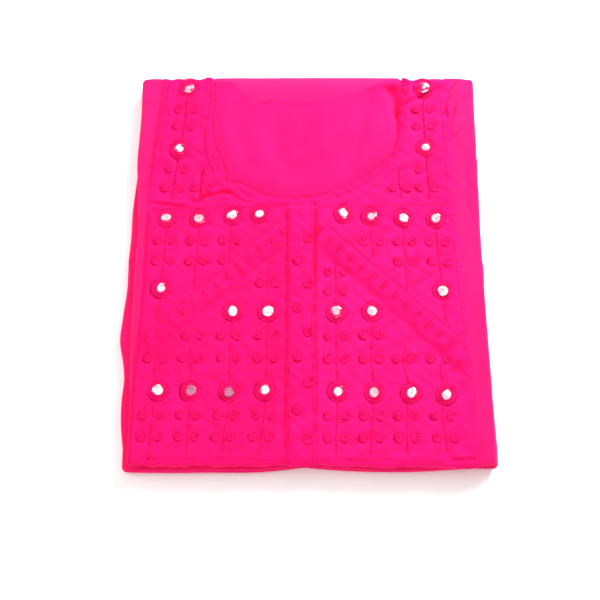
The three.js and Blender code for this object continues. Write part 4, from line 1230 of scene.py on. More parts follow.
share, beyond = over_folds(column_x, 1.3)
rows = np.hstack([start_near(0) - folds[::-1], start_near(0), row_y, start_far(0), start_far(0) + folds])
level_y = np.clip(rows, -CORNER_Y, CORNER_Y)[:, None]
left, right = start_left(level_y), start_right(level_y)
x = left + share * (right - left) + beyond
share, beyond = over_folds(row_y, 1.0)
level_x = np.clip(x, -CORNER_X, CORNER_X)
near, far = start_near(level_x), start_far(level_x)
y = near + share[:, None] * (far - near) + beyond[:, None]
print("the front's net has", x.shape[0], "rows and", x.shape[1], "columns")

# %% [markdown]
# ## The hole for the neck
# A net has square cells, so leaving out the cells inside the neck leaves a hole with steps. The points along
# that hole are drawn onto the neck's line, moved out a little under the binding, and the steps are gone.

# %% Front of the body
# How far out from the neck's edge the front's own cut edge lies, under the yoke.
HOLE = 3.0


def neighbours(table):
    """The four neighbours of each place between the entries of a table."""
    return [table[1:, 1:], table[:-1, 1:], table[1:, :-1], table[:-1, :-1]]


distance = inside_neck(x, y)
keep = sum(neighbours(distance)) / 4 < -HOLE
kept = neighbours(np.pad(keep, 1))
edge = np.any(kept, axis=0) & ~np.all(kept, axis=0) & (abs(distance + HOLE) < 3)
edge &= (abs(x) < 100) & (y > 40)
hole = neck_line(HOLE)
nearest = np.argmin((x[edge][:, None] - hole[:, 0]) ** 2 + (y[edge][:, None] - hole[:, 1]) ** 2, axis=1)
x[edge], y[edge] = hole[nearest].T
front_body = wall(
    "front_cloth", x, y, FRONT, rim_distance(x, y), ground_cotton, "front_body", keep=keep)
note_net(front_body, x, y, keep)

# %% [markdown]
# ## Back of the body
# The back lies under the front with its inside up, and it shows in the neck. It has its own neckline, with a
# hem turned in and stitched: the hem stands up a little, its stitches press a groove along its inner edge,
# and small puckers run across them. Only that part needs close rows and columns.

# %% Back of the body
BACK_INSET = 1.0
HEM_WIDTH = 6.2
HEM_RISE = 0.3
HEM_STITCH_IN = 1.2
HEM_END = 76
columns = np.concatenate([span(-144, -92, 4), span(-90, 90, 1.6), span(94, 146.2, 4)])
down = np.concatenate([RIM, span(1.4, 9, 0.75), span(10.5, 104, 1.6), span(108, 330, 5)])
down = down / down[-1]

back_edge = spline(BACK_NECK)
order = np.argsort(back_edge[:, 0])
in_neck = (columns >= BACK_NECK[0, 0]) & (columns <= BACK_NECK[-1, 0])
level_x = np.clip(columns, -CORNER_X, CORNER_X)
neckline = np.interp(columns, back_edge[order, 0], back_edge[order, 1])
top = np.where(in_neck, neckline, start_far(level_x) - BACK_INSET)
bottom = start_near(level_x) + BACK_INSET
y = top - down[::-1, None] * (top - bottom)
x = np.broadcast_to(columns, y.shape).copy()
x[:, 0] = start_left(y[:, 0]) + BACK_INSET
x[:, -1] = start_right(y[:, -1]) - BACK_INSET

off = rim_distance(x, y)
past_hem = np.where(abs(x) < HEM_END, off, 99.0) - HEM_WIDTH
turned = HEM_RISE * (ease(-past_hem) - np.exp(-(((past_hem + HEM_STITCH_IN) / 0.5) ** 2)))
pucker = 0.1 * np.sin(x * 1.9 + 2 * np.sin(x * 0.31)) * np.exp(-(past_hem**2) / 14)
back_body = wall(
    "back_cloth", x, y, BACK, off, inner_cotton, "back_body",
    fine=(turned + pucker) * (inside_neck(x, y) > 3), lift=hidden_creases(x, y))
note_net(back_body, x, y)

# %% [markdown]
# ## Pull of the embroidery
# Up close, the embroidery shapes the yoke's upper face: a groove along each stem, a small dimple at each curl
# with its middle pushed up, a seat for each mirror with a moat round it, and a groove beside each seam and
# strip. The same lists that later place the stitches set all of these, so stitch and groove always meet. The
# thread was pulled towards the lower left, so the dimples are deepest there.

# %% Pull of the embroidery
RING_RADIUS = 6.0
MOAT_RADIUS = 8.4
# How far the pull of a curl and of a mirror can be felt.
CURL_REACH, MIRROR_REACH = 9, 13
# The fine shape is held between these, so that the upper face stays above the lower one.
DEEPEST, HIGHEST = -0.62, 0.4


def near_places(x, y, places, reach, shape):
    """The sum of a round shape about each of many places, worked out only close to it."""
    total = np.zeros(np.shape(x))
    for cx, cy in places:
        close = (abs(x - cx) < reach) & (abs(y - cy) < reach)
        total[close] += shape(x[close] - cx, y[close] - cy)
    return total


def groove(off, width):
    """A valley 1 deep at distance 0."""
    return np.exp(-((off / width) ** 2))


def lower_left(dx, dy):
    """Nearly 1 towards the lower left of a place, and nearly 0 on the side across from it."""
    return 0.5 - 0.35 * (dx + dy) / np.maximum(np.hypot(dx, dy), 1e-6)


def curl_dimple(dx, dy):
    r = np.hypot(dx, dy)
    return 0.3 * groove(r, 3.0) - (0.18 + 0.4 * lower_left(dx, dy)) * groove(r - 5.2, 1.1)


def mirror_dimple(dx, dy):
    r = np.hypot(dx, dy)
    return -0.3 * ease(RING_RADIUS - r) - (0.12 + 0.5 * lower_left(dx, dy)) * groove(r - MOAT_RADIUS, 1.4)


def puckers(x, y):
    """Small uneven ripples left by the stitching."""
    a = np.sin(x * 0.83 + 1.9 * np.sin(y * 0.21 + 0.7)) * np.sin(y * 0.57 + 1.4 * np.sin(x * 0.17))
    b = np.sin(x * 0.31 - y * 0.43 + 1.7 * np.sin(y * 0.11))
    return 0.07 * a + 0.06 * b


def yoke_fine(x, y):
    """All the fine shape of the yoke's upper face."""
    fine = puckers(x, y) - 0.5 * groove(from_stems(x, y), 1.5) - 0.22 * groove(y - seam(x), 1.1)
    fine = fine + near_places(x, y, yoke_curls, CURL_REACH, curl_dimple)
    fine = fine + near_places(x, y, MIRRORS.values(), MIRROR_REACH, mirror_dimple)
    for edge in PLACKET_EDGES:
        fine = fine - 0.55 * groove(x - edge - placket_wander(y), 1.2) * (y < SEAM_Y)
    for side in BANDS:
        for edge in band_edges(side, x):
            fine = fine - 0.2 * groove(y - edge, 1.2) * (abs(x - MIDDLE_X) > 11)
    return np.clip(fine, DEEPEST, HIGHEST)


print("a mirror's moat lies", MOAT_RADIUS, "mm from its middle")

# %% [markdown]
# ## The yoke
# The yoke is a second layer of cotton sewn over the front: a strap down from each shoulder and a lower panel
# on each side of the placket. Both kinds are nets between two lines. A strap's rows run from its outer edge
# to the neck's curve, turning like a fan at the sharp corner, and a lower panel's columns end on the seam.

# %% Straps
# Steps of the net in millimetres, along a strap and across it.
STRAP_STEPS = (1.35, 0.8)
SHOULDER_X = 110
NECK_PATH_STEPS = 900
SEAM_GAP = 0.03
# How far the rim comes down, how much thinner it is pressed, and how far in that reaches.
YOKE_RIM = (0.28, 0.7, 3.6)
# Where the neck's edge, moved out, starts to rise from the cross seam.
SEAM_TIPS = {"left": -12.0, "right": 7.0}
SIGN = {"left": -1, "right": 1}
# Rows of the straps: y at the outer edge, then at the left and at the right side of the neck.
STRAP_ROWS = np.array([
    (54, 54.5, 57.3), (58, 58.2, 61.7), (62, 64.2, 67.3), (66, 67.9, 73.4), (70, 69.5, 78.6),
    (75, 73.0, 84.9), (84, 82.6, 92.1), (94, 92.0, 100.5), (105, 103.6, 110.0), (119.8, 119.8, 119.9),
    (140, 140, 140), (157, 157, 157), (178, 178, 178),
])


def yoke_piece(name, node, side, x, y, seam_edge):
    """A piece of the yoke, with its full thickness along the seam, where the next piece meets it."""
    piece = wall(
        name, x, y, YOKE, rim_distance(x, y, seam_edge), YOKE_COTTONS[side], node,
        fine=yoke_fine(x, y), rim=YOKE_RIM)
    note_net(piece, x, y)
    return piece


def make_strap(side):
    """A strap, from its outer edge to the neck and from the seam up over the shoulder fold."""
    tip = SEAM_TIPS[side]
    under = neck_line(UNDER_BINDING)
    under = under[np.sign(under[:, 0] - tip) == SIGN[side]][::SIGN[side]]
    path = even(np.vstack([(tip, seam(tip) + SEAM_GAP), under]), NECK_PATH_STEPS)
    climb = np.maximum.accumulate(path[:, 1])
    knots = np.hstack([0, np.interp(STRAP_ROWS[:, COLUMN[side]], climb, lengths(path))])
    outer_y = np.hstack([seam(yoke_edge(side, SEAM_Y)) + SEAM_GAP, STRAP_ROWS[:, 0]])
    over = start_far(SIGN[side] * SHOULDER_X) + YOKE_WRAP
    at = stations(np.interp(over, outer_y, knots), STRAP_STEPS[0])
    inner = at_distance(path, at)
    high = np.interp(at, knots, outer_y)
    outer = np.stack([yoke_edge(side, high), high], axis=-1)
    width = np.linalg.norm(outer - inner, axis=1)
    t = stations(width, STRAP_STEPS[1]) / width[:, None]
    first, last = (outer, inner) if side == "left" else (inner, outer)
    net = first[:, None] + t[..., None] * (last - first)[:, None]
    return yoke_piece(side + "_strap_cloth", "strap_" + side, side, net[..., 0], net[..., 1], "near")


strap_left, strap_right = make_strap("left"), make_strap("right")

# %% [markdown]
# ## Lower panels
# A lower panel's outer edge wanders with its height, and its height depends on where across the panel one
# is. So the net is laid out, corrected and laid out again, until both agree. Near the middle its top slants
# down to meet the neck's edge under the binding.

# %% Lower panels
YOKE_STEP = 1.3


def make_lower_yoke(side):
    """A lower panel, from the middle to its outer edge and from the near fold up to the seam."""
    sign = SIGN[side]
    start = MIDDLE_X + sign * GAP / 2
    tip = SEAM_TIPS[side]
    tip_y = seam(tip) - SEAM_GAP
    height = seam(0) - start_near(0) + YOKE_WRAP
    share = stations(height, YOKE_STEP)[:, None] / height
    along = stations(abs(yoke_edge(side, 0) - start), YOKE_STEP)
    along = along / along[-1]
    x = start + along * (yoke_edge(side, 0) - start)
    for _ in range(3):
        slant = tip_y + (x - tip) / (start - tip) * (neck_foot(start) - tip_y)
        top = np.where(sign * (x - tip) > 0, seam(x) - SEAM_GAP, slant)
        low = start_near(x) - YOKE_WRAP
        y = low + share * (top - low)
        x = start + along * (yoke_edge(side, y) - start)
    if side == "left":
        x, y = x[:, ::-1], y[:, ::-1]
    return yoke_piece(side + "_yoke_cloth", "yoke_" + side, side, x, y, "far")


yoke_left, yoke_right = make_lower_yoke("left"), make_lower_yoke("right")

# %% [markdown]
# ## Placket and bands
# Three strips of the same cotton lie on the yoke. The placket covers the middle seam, and a band runs down
# from it on each side at a slant. Each strip is held by a row of stitches along both edges, which press a
# shallow groove into it, and each rim is pressed down onto the cloth below.

# %% Placket
STITCH_IN = 1.5
STRIP_RIM = (0.28, 0.6, 5.5)
# A strip is a little stiffer than the yoke, and puckers so much less.
STRIP_PUCKER = 0.8
PLACKET_STEPS = (1.0, 1.1)
# The placket's top edge comes up so far past the binding's width, and ends just outside the binding.
PLACKET_LAP = 1.2


def stitched_edges(off):
    """A strip has a groove along its stitches and swells inside them."""
    return 0.08 * ease((off - STITCH_IN) / 4) - 0.2 * groove(off - STITCH_IN, 0.55)


def placket_fine(x, y):
    across = x - placket_wander(y)
    off = np.minimum(across - PLACKET_EDGES[0], PLACKET_EDGES[1] - across)
    dimples = near_places(x, y, placket_curls, CURL_REACH, curl_dimple)
    return stitched_edges(off) + STRIP_PUCKER * puckers(x, y) + dimples


columns = PLACKET_EDGES[0] + stations(PLACKET_EDGES[1] - PLACKET_EDGES[0], PLACKET_STEPS[0])
top = neck_foot(columns) - BINDING_WIDTH + PLACKET_LAP
low = start_near(columns) - YOKE_WRAP
total = float(top.mean() - low.mean())
y = low + stations(total, PLACKET_STEPS[1])[:, None] / total * (top - low)
x = columns + placket_wander(y)
placket = wall(
    "placket_cloth", x, y, STRIP, rim_distance(x, y), trim_cotton, "placket",
    fine=placket_fine(x, y), rim=STRIP_RIM)
note_net(placket, x, y)

# %% [markdown]
# ## The slanting bands
# A band carries a border of combs, one every dozen millimetres, and each comb draws the cloth in a little.
# Its lower edge was pressed flatter than its upper one, so the groove along it is weaker.

# %% Bands of cloth
BAND_PITCH = 12.2
BAND_RIM = (0.28, 0.95, 9.0)
BAND_STEPS = (0.95, 0.9)
LOW_EDGE_DIP = 0.2


def band_frame(side):
    """The middle line of a band: its start, its run and its length."""
    (x0, top0, low0), (x1, top1, low1) = BANDS[side]
    start, stop = np.array([x0, (top0 + low0) / 2]), np.array([x1, (top1 + low1) / 2])
    length = float(np.linalg.norm(stop - start))
    return start, (stop - start) / length, length


def band_fine(side, x, y):
    start, run, _ = band_frame(side)
    low, high = band_edges(side, x)
    off = np.minimum(y - low, high - y) * abs(run[0])
    along = (x - start[0]) * run[0] + (y - start[1]) * run[1]
    pull = np.cos(2 * math.pi * along / BAND_PITCH)
    dip = stitched_edges(off) * np.where(y - low < high - y, LOW_EDGE_DIP, 1)
    return dip - 0.1 * ease((off - 3) / 3) * pull + STRIP_PUCKER * puckers(x, y)


def make_band(side):
    """A band, from the placket down to the side of the yoke below it."""
    (x0, top0, low0), (x1, top1, low1) = BANDS[side]
    _, _, length = band_frame(side)
    t = stations(length, BAND_STEPS[0]) / length
    width = (top0 - low0) * abs(x1 - x0) / length
    low, high = low0 + t * (low1 - low0), top0 + t * (top1 - top0)
    y = low + stations(width, BAND_STEPS[1])[:, None] / width * (high - low)
    x = np.broadcast_to(x0 + t * (x1 - x0), y.shape)
    if side == "left":
        x, y = x[:, ::-1], y[:, ::-1]
    piece = wall(
        side + "_band_cloth", x, y, STRIP, rim_distance(x, y), trim_cotton, "band_" + side,
        fine=band_fine(side, x, y), rim=BAND_RIM)
    area = flat_area(x, y)
    note_cut(piece, (area / length / MM, length * MM), area)
    return piece


band_left, band_right = make_band("left"), make_band("right")

# %% [markdown]
# ## Neck binding
# The binding is a narrow strip folded round the neck's edge, so the cut edges of the yoke and the front are
# closed inside it. It is made as one section swept along the neck's line: flat on top, with a groove where
# it is stitched, a rolled inner edge and a short turn back below. Cut on the slant, it draws in at each
# stitch, so a fine ripple runs along it.

# %% Neck binding
BINDING_LIP = 2.6
# Over the shoulders the binding ends round the fold, where it is pressed a little lower.
BINDING_END = 176.5
SHOULDER_PRESS = 0.8
# One section: distance out from the neck's edge, and level above the front panel.
BINDING_SECTION = [
    (5.6, 2.78), (5.55, 2.82), (5.35, 2.87), (5.0, 2.92), (4.6, 2.93), (4.2, 2.85), (3.95, 2.81),
    (3.7, 2.85),
    (3.2, 2.87), (2.5, 2.79), (1.8, 2.62), (1.35, 2.44), (1.1, 2.34), (0.85, 2.32), (0.3, 2.14),
    (-0.2, 1.9),
    (-0.65, 1.6), (-0.9, 1.25), (-0.95, 0.95), (-0.85, 0.7), (-0.6, 0.55), (-0.3, 0.5), (0.0, 0.6),
    (0.1, 1.0),
    (0.3, 1.5), (0.9, 1.95), (2.6, 2.35), (5.35, 2.7),
]

first = int(np.argmin(abs(neck_middle[:NECK_SIDE, 1] - BINDING_END)))
last = len(neck_middle) - NECK_SIDE + int(np.argmin(abs(neck_middle[-NECK_SIDE:, 1] - BINDING_END)))
run = slice(first, last + 1)
along = lengths(neck_middle)[run]
tight = 0.07 * np.sin(along * 2.1 + 1.5 * np.sin(along * 0.23)) * (0.6 + 0.4 * np.sin(along * 0.17 + 1))
width = 1 + 0.035 * np.sin(along * 0.09 + 0.5) + 0.02 * np.sin(along * 0.31)
loops = []
for out, level in BINDING_SECTION:
    line = neck_middle[run] + (neck_line(out) - neck_middle)[run] * (width[:, None] if out > 0 else 1)
    x, y = line.T
    ripple = tight * (groove(out - 4.6, 1.0) + 0.7 * groove(out - 0.6, 0.8)) if level > 2.3 else 0
    loops.append(lay(x, y, level + relief(x, y) + ripple - SHOULDER_PRESS * ease((y - 160) / 10)))
points = np.stack(loops, axis=1)
sections, count, _ = points.shape
pole = sections * count
faces = np.vstack([
    tube(sections, count)[:, [0, 3, 2, 1]],
    fan(0, count, pole, above=True),
    fan(pole - count, count, pole + 1, above=False),
])
points = np.vstack([points.reshape(-1, 3), points[0].mean(axis=0), points[-1].mean(axis=0)])
neck_binding = make_piece("binding_cloth", points, faces, trim_cotton, ["neck_binding"])
length = float(along[-1] - along[0]) * MM
cut_width = (BINDING_WIDTH + BINDING_LIP + 3 * TRIM) * MM
note_cut(neck_binding, (cut_width, length), cut_width * length)

# %% [markdown]
# ## Stitches
# Every stitch is a short length of thread that comes up out of the cloth, arches over it and goes down
# again. There are some thousands, so they aren't separate objects: their ends are gathered in lists, by the
# cloth that carries them and by their thread. The random numbers that make them uneven are drawn from a
# seeded generator, so every run gives the same stitches. All hand stitches here are of three kinds, chain,
# stem stitch and single ones.

# %% Stitch tools
# A stitch starts off its even place by up to this share of the pitch.
JITTER = 0.05
SEED = 11
chance = np.random.default_rng(SEED)
sewn = {}


def sew(carrier, material, start, stop, radius, rise=0.0):
    """Adds stitches between places on a carrier. rise lifts both ends, and may differ for each end."""
    start, stop = np.asarray(start, float), np.asarray(stop, float)
    stitches = (start, stop, np.broadcast_to(radius, len(start)), np.broadcast_to(rise, (2, len(start))))
    sewn.setdefault((carrier, material), []).append(stitches)


def walk(path, pitch, length):
    """Starts and stops of stitches in a row along a path. length is their share of the pitch."""
    path = np.asarray(path, float)
    room = lengths(path)[-1] / pitch
    count = max(1, int(room))
    begin = (np.arange(count) + 0.5 * (room - count)) * pitch
    begin = begin + chance.uniform(-JITTER, JITTER, count) * pitch
    return at_distance(path, begin), at_distance(path, begin + pitch * length)


def unit(vectors):
    return vectors / np.maximum(np.linalg.norm(vectors, axis=1), 1e-9)[:, None]


def sideways(start, stop):
    """Unit vectors square to stitches, to their left."""
    run = unit(stop - start)
    return np.stack([-run[:, 1], run[:, 0]], axis=1)


def topstitch(carrier, path, pitch=2.9, radius=0.3, rise=0.0):
    """A row of plain machine stitches in the dark stem thread, whose colour paints shade along the row."""
    start, stop = walk(path, pitch, 0.8)
    sew(carrier, shade_dark_stem_thread, start, stop, radius, rise)


def chain(carrier, path, material, pitch, radius, spread):
    """A row of chain stitches: two bowed threads a link."""
    start, stop = walk(path, pitch, 1.15)
    side = sideways(start, stop) * spread
    for sign in (-1, 1):
        sew(carrier, material, start + sign * side, stop + 0.25 * sign * side, radius)


def rope(carrier, path, material, pitch, radius, slant, length=1.75, rise=0.0):
    """A row of slanting stitches that lap over each other, as stem stitch does."""
    start, stop = walk(path, pitch, length)
    side = sideways(start, stop) * slant
    sew(carrier, material, start - side, stop + side, radius, rise)


print("stitches are drawn with seed", SEED)

# %% [markdown]
# ## Stems and curls
# The pattern is a common one: straight stems with a pair of curls facing each other across each stem. A stem
# is a chain stitch. A curl is stem stitch run round nearly one and a half times, with a knot in its middle.
# Its lower left, the side away from the light, is worked over once more with a crescent of close stitches in
# the dark stem thread, which paints shade there.
# Hand-guided work isn't even, so every curl has its own size, turn and lean.

# %% Stems and curls
# The side away from the light, where dark stitches paint shade.
SHADED_SIDE = math.radians(225)
CURL_RADIUS = 4.2
KNOT_STITCHES, KNOT_HALF = 3, 0.7


def carrier_at(x, y):
    """Which piece of the yoke lies at a place."""
    side = "left" if x < MIDDLE_X else "right"
    return ("strap_" if y > seam(x) else "yoke_") + side


def curl(carrier, cx, cy, hand):
    """One curl. hand is 1 if it winds anticlockwise and -1 if clockwise."""
    radius = CURL_RADIUS * chance.uniform(0.88, 1.06)
    start = (0 if hand > 0 else math.pi) + hand * chance.uniform(-0.8, 0.5)
    turns = chance.uniform(1.25, 1.55)
    t = np.linspace(0, 1, 40)
    shrink = radius * (1 - 0.66 * ease((t - 0.45) / 0.55))
    out = shrink[:, None] * spokes(start + hand * turns * 2 * math.pi * t) * (1, 0.97)
    lean, squash = chance.uniform(0, math.pi), chance.uniform(0.88, 1.0)
    long = np.array([math.cos(lean), math.sin(lean)])
    path = out + (cx, cy) - (1 - squash) * (out @ long)[:, None] * long
    rope(carrier, path, shade_dark_embroidery_thread, 1.25, 0.44, 0.2)
    for _ in range(KNOT_STITCHES):
        lean = chance.uniform(0, math.pi)
        tip = KNOT_HALF * np.array([math.cos(lean), math.sin(lean)])
        sew(carrier, shade_dark_embroidery_thread, [(cx, cy) - tip], [(cx, cy) + tip], 0.5, 0.12)
    # Painted shade: a crescent of dark stem-thread stitches on the curl's lower left, the side away from the
    # light.
    reach = chance.uniform(0.9, 1.7) if hand < 0 else chance.uniform(0.3, 1.1)
    middle = SHADED_SIDE + chance.uniform(-0.5, 0.5)
    spoke = spokes(middle + np.linspace(-reach, reach, int(4 + 7 * reach)))
    inner = radius * (chance.uniform(0.5, 0.75) if hand < 0 else 0.8)
    sew(carrier, shade_dark_stem_thread, (cx, cy) + inner * spoke, (cx, cy) + (radius + 0.4) * spoke, 0.34)


for path in STEMS:
    carrier = carrier_at(*path[len(path) // 2])
    path = even(path, 30)
    path[:, 0] += 0.3 * np.sin(path[:, 1] * 0.23 + path[0, 0]) + 0.15 * np.sin(path[:, 1] * 0.61)
    chain(carrier, path, shade_dark_stem_thread if "strap" in carrier else shade_dark_embroidery_thread, 2.1, 0.42, 0.5)
for cx, cy in yoke_curls:
    to_stems = [beside(path, np.array([cx]), np.array([cy]))[0][0] for path in STEMS]
    curl(carrier_at(cx, cy), cx, cy, 1 if min(to_stems, key=abs) > 0 else -1)
for k, (cx, cy) in enumerate(placket_curls):
    curl("placket", cx, cy, -1 if k % 2 else 1)
print(len(yoke_curls) + len(placket_curls), "curls sewn")

# %% [markdown]
# ## Rings round the mirrors
# A mirror has no holes, so thread has to hold it. Close stitches reach from the cloth over its edge all the
# way round, and a rope of thread runs along their inner ends and another along their outer ones. A row of
# chain stitch goes round outside. Sewn by hand, no two rings leave the same window of glass.

# %% Rings round the mirrors
# Each mirror: how far it leans across and up the yoke, in degrees, how much it bulges in millimetres, the
# width and height of its window against a true circle, and how clear its silver still is.
GLASS = dict.fromkeys(MIRRORS, (0, 0, 0.1, 1.0, 1.0, "bright"))
GLASS.update({
    "strap_left_1": (1, 1, 0.1, 0.86, 0.66, "dull"),
    "strap_left_2": (-1, 2, 0.15, 0.9, 0.84, "bright"),
    "strap_right_1": (1, 1, 0.1, 0.5, 0.56, "dull"),
    "strap_right_2": (1, 3, 0.3, 1.08, 1.0, "bright"),
    "left_top_1": (0, 1, 0.1, 1.08, 1.0, "bright"),
    "left_top_3": (0, 1, 0.15, 0.9, 0.92, "dull"),
    "left_top_4": (0, 0, 0.1, 0.96, 0.92, "bright"),
    "right_top_2": (1, -1, 0.15, 0.9, 1.02, "dull"),
    "right_top_3": (0, 0, 0.1, 1.24, 1.1, "bright"),
    "right_top_4": (0, 1, 0.1, 1.1, 1.14, "bright"),
    "right_side": (1, 0, 0.1, 1.2, 1.16, "bright"),
    "left_middle_1": (1, -1, 0.2, 1.34, 1.24, "bright"),
    "left_middle_2": (0, -1, 0.1, 1.04, 1.3, "bright"),
    "right_middle_1": (0, 0, 0.1, 0.92, 0.9, "dull"),
    "right_middle_2": (0, 0, 0.1, 1.16, 1.12, "bright"),
    "left_bottom_1": (0, 3, 0.4, 1.04, 1.16, "bright"),
    "left_bottom_2": (0, 0, 0.1, 0.98, 1.04, "pink_reflection"),
    "left_bottom_3": (1, 1, 0.1, 0.98, 1.0, "pink_reflection"),
    "left_bottom_4": (-3, 2, 0.4, 1.14, 1.1, "bright"),
    "right_bottom_1": (2, 0, 0.25, 1.02, 1.04, "bright"),
    "right_bottom_2": (0, 0, 0.1, 1.06, 1.2, "dull"),
    "right_bottom_3": (4, -1, 0.35, 0.94, 1.14, "bright"),
    "right_bottom_4": (2, 2, 0.2, 1.06, 1.3, "bright"),
})
GLASS_RADIUS = 5.0
WINDOW_RADIUS = 3.5
# Thread that lies on the glass stands so much higher.
ON_GLASS = 0.9
RING_STITCHES = 54


def circle(centre, r, wide=1.0, tall=1.0):
    return centre + r * np.array([wide, tall]) * spokes(np.linspace(0, 2 * math.pi, 49))


def mirror_stitches(name):
    """The ring of one mirror."""
    centre = np.array(MIRRORS[name])
    _, _, _, wide, tall, _ = GLASS[name]
    carrier = carrier_at(*centre)
    count = RING_STITCHES
    spoke = spokes(2 * math.pi * (np.arange(count) + chance.uniform(-0.25, 0.25, count)) / count)
    inner = WINDOW_RADIUS * np.array([wide, tall]) * chance.uniform(0.97, 1.03, (count, 1))
    outer = RING_RADIUS * chance.uniform(0.96, 1.04, (count, 1))
    edge = centre + (GLASS_RADIUS + 0.2) * spoke
    sew(carrier, ring_thread, centre + inner * spoke, edge, 0.34, ON_GLASS)
    down = np.array([[ON_GLASS + 0.05], [0.05]])
    sew(carrier, ring_thread, edge - 0.3 * spoke, centre + outer * spoke, 0.36, down)
    window = circle(centre, WINDOW_RADIUS + 0.2, wide, tall)
    rope(carrier, window, ring_thread, 1.1, 0.32, 0.12, rise=ON_GLASS)
    rope(carrier, circle(centre, RING_RADIUS + 0.5), ring_thread, 1.4, 0.36, 0.15)
    chain(carrier, circle(centre, MOAT_RADIUS), shade_dark_embroidery_thread, 1.9, 0.32, 0.46)
    # Painted shade: the lower left, the side away from the light, is worked over with close stitches in the
    # dark stem thread, further round on some rings than on others.
    middle = SHADED_SIDE + chance.uniform(-0.5, 0.5)
    reach = chance.uniform(0.9, 1.7)
    count = int(26 * reach)
    spoke = spokes(middle + np.linspace(-reach, reach, count))
    outer = MOAT_RADIUS + chance.uniform(1.0, 1.8) - np.linspace(-1, 1, count)[:, None] ** 2
    sew(carrier, shade_dark_stem_thread, centre + (MOAT_RADIUS - 0.7) * spoke, centre + outer * spoke, 0.32)


for name in MIRRORS:
    mirror_stitches(name)
print(len(MIRRORS), "rings sewn")

# %% [markdown]
# ## The mirrors
# Each mirror is a small disc with a worn edge that bulges a very little, since hand-cut glass of this kind
# comes from a blown ball. It leans its own way under its ring, so it catches its own part of the light.

# %% Mirrors
# Rings of the disc from below to the top: radius, and height until the face starts.
DISC_RADII = [4.6, 5.0, 5.0, 4.8, 4.0, 3.0, 2.0, 1.0]
DISC_LEVELS = [0.0, 0.2, 0.55, 0.7]
GLASS_SINK = 0.25


def make_glass(name):
    """One mirror, laid on the yoke under its ring."""
    cx, cy = MIRRORS[name]
    lean_x, lean_y, bulge, _, _, silver = GLASS[name]
    slope = np.tan(np.radians([lean_x, lean_y]))
    base = YOKE[1] - GLASS_SINK + relief(np.array([cx]), np.array([cy]))[0]
    loops = []
    for k, r in enumerate(DISC_RADII):
        out = r * spokes(np.linspace(0, 2 * math.pi, 41)[:-1])
        on_face = DISC_LEVELS[-1] + bulge * (1 - (r / GLASS_RADIUS) ** 2)
        z = DISC_LEVELS[k] if k < len(DISC_LEVELS) else on_face
        z = z + (out @ slope if k > 1 else 0.0)
        loops.append(lay(cx + out[:, 0], cy + out[:, 1], base + z))
    count = len(loops[0])
    pole = len(loops) * count
    points = np.vstack(loops + [lay(cx, cy, base), lay(cx, cy, base + DISC_LEVELS[-1] + bulge)])
    faces = np.vstack([
        tube(len(loops), count),
        fan(0, count, pole, above=False),
        fan(pole - count, count, pole + 1, above=True),
    ])
    return make_piece("glass_" + name, points, faces, GLASSES[silver], ["mirror_" + name])


carried = {}
for name, place in MIRRORS.items():
    carried.setdefault(carrier_at(*place), []).append(make_glass(name))
print(len(MIRRORS), "mirrors laid in")

# %% [markdown]
# ## Border of the bands
# The bands carry a smaller border, again and again the same: a comb, with a bar across the band, four teeth
# that point along it, and a short stub behind each tooth. The teeth differ in length, as they do in work
# that is done fast.

# %% Border of the bands
TEETH = 4
TOOTH_PITCH = 2.5
BAR_HALF = 3.9
BAR_BACK = 1.4

for side in BANDS:
    carrier = "band_" + side
    origin, run, length = band_frame(side)
    square = np.array([-run[1], run[0]])
    square = square * np.sign(square[1])
    place = BAND_PITCH * 0.55
    while place < length - 4:
        middle = origin + place * run + chance.uniform(-0.3, 0.3, 2)
        bar = middle - BAR_BACK * run
        path = even([bar - BAR_HALF * square, bar + BAR_HALF * square], 12)
        rope(carrier, path, shade_dark_embroidery_thread, 1.3, 0.42, 0.2)
        for tooth in range(TEETH):
            root = bar + (TOOTH_PITCH * tooth - 3.7 + chance.uniform(-0.3, 0.3)) * square
            tip = root + chance.uniform(2.4, 3.8) * run - 0.5 * square
            rope(carrier, even([root, tip], 6), shade_dark_embroidery_thread, 1.2, 0.4, 0.2)
            stub = root - chance.uniform(1.6, 3.4) * run
            sew(carrier, shade_dark_embroidery_thread, [root], [stub], 0.42)
        place += BAND_PITCH * chance.uniform(0.97, 1.03)
print("combs every", BAND_PITCH, "mm along both bands")

# %% [markdown]
# ## Seams and hems
# All the strips and edges are held by machine stitches, in the dark thread of the stems, whose colour paints
# the shade along the edges of the strips and of the yoke. One row differs: the yoke's left edge is stitched
# close and fine, and its right edge with a thick pale thread that stands up from the cloth.

# %% Seams and hems
STRIP_STITCH_DROP = -0.2
# Rows of stitches down the straps, inside their outer edges.
STRAP_LINES = {
    "left": [
        (-122.3, 172), (-124.3, 150.8), (-126.4, 131.2), (-129.7, 116.3), (-131, 107.6),
        (-132.7, 94.7), (-134, 66),
    ],
    "right": [
        (119.2, 165), (119.6, 148), (121.0, 128), (121.5, 107), (122.2, 90), (122.6, 60),
    ],
}


def line_along(y, x):
    return np.stack(np.broadcast_arrays(x, y), axis=1)


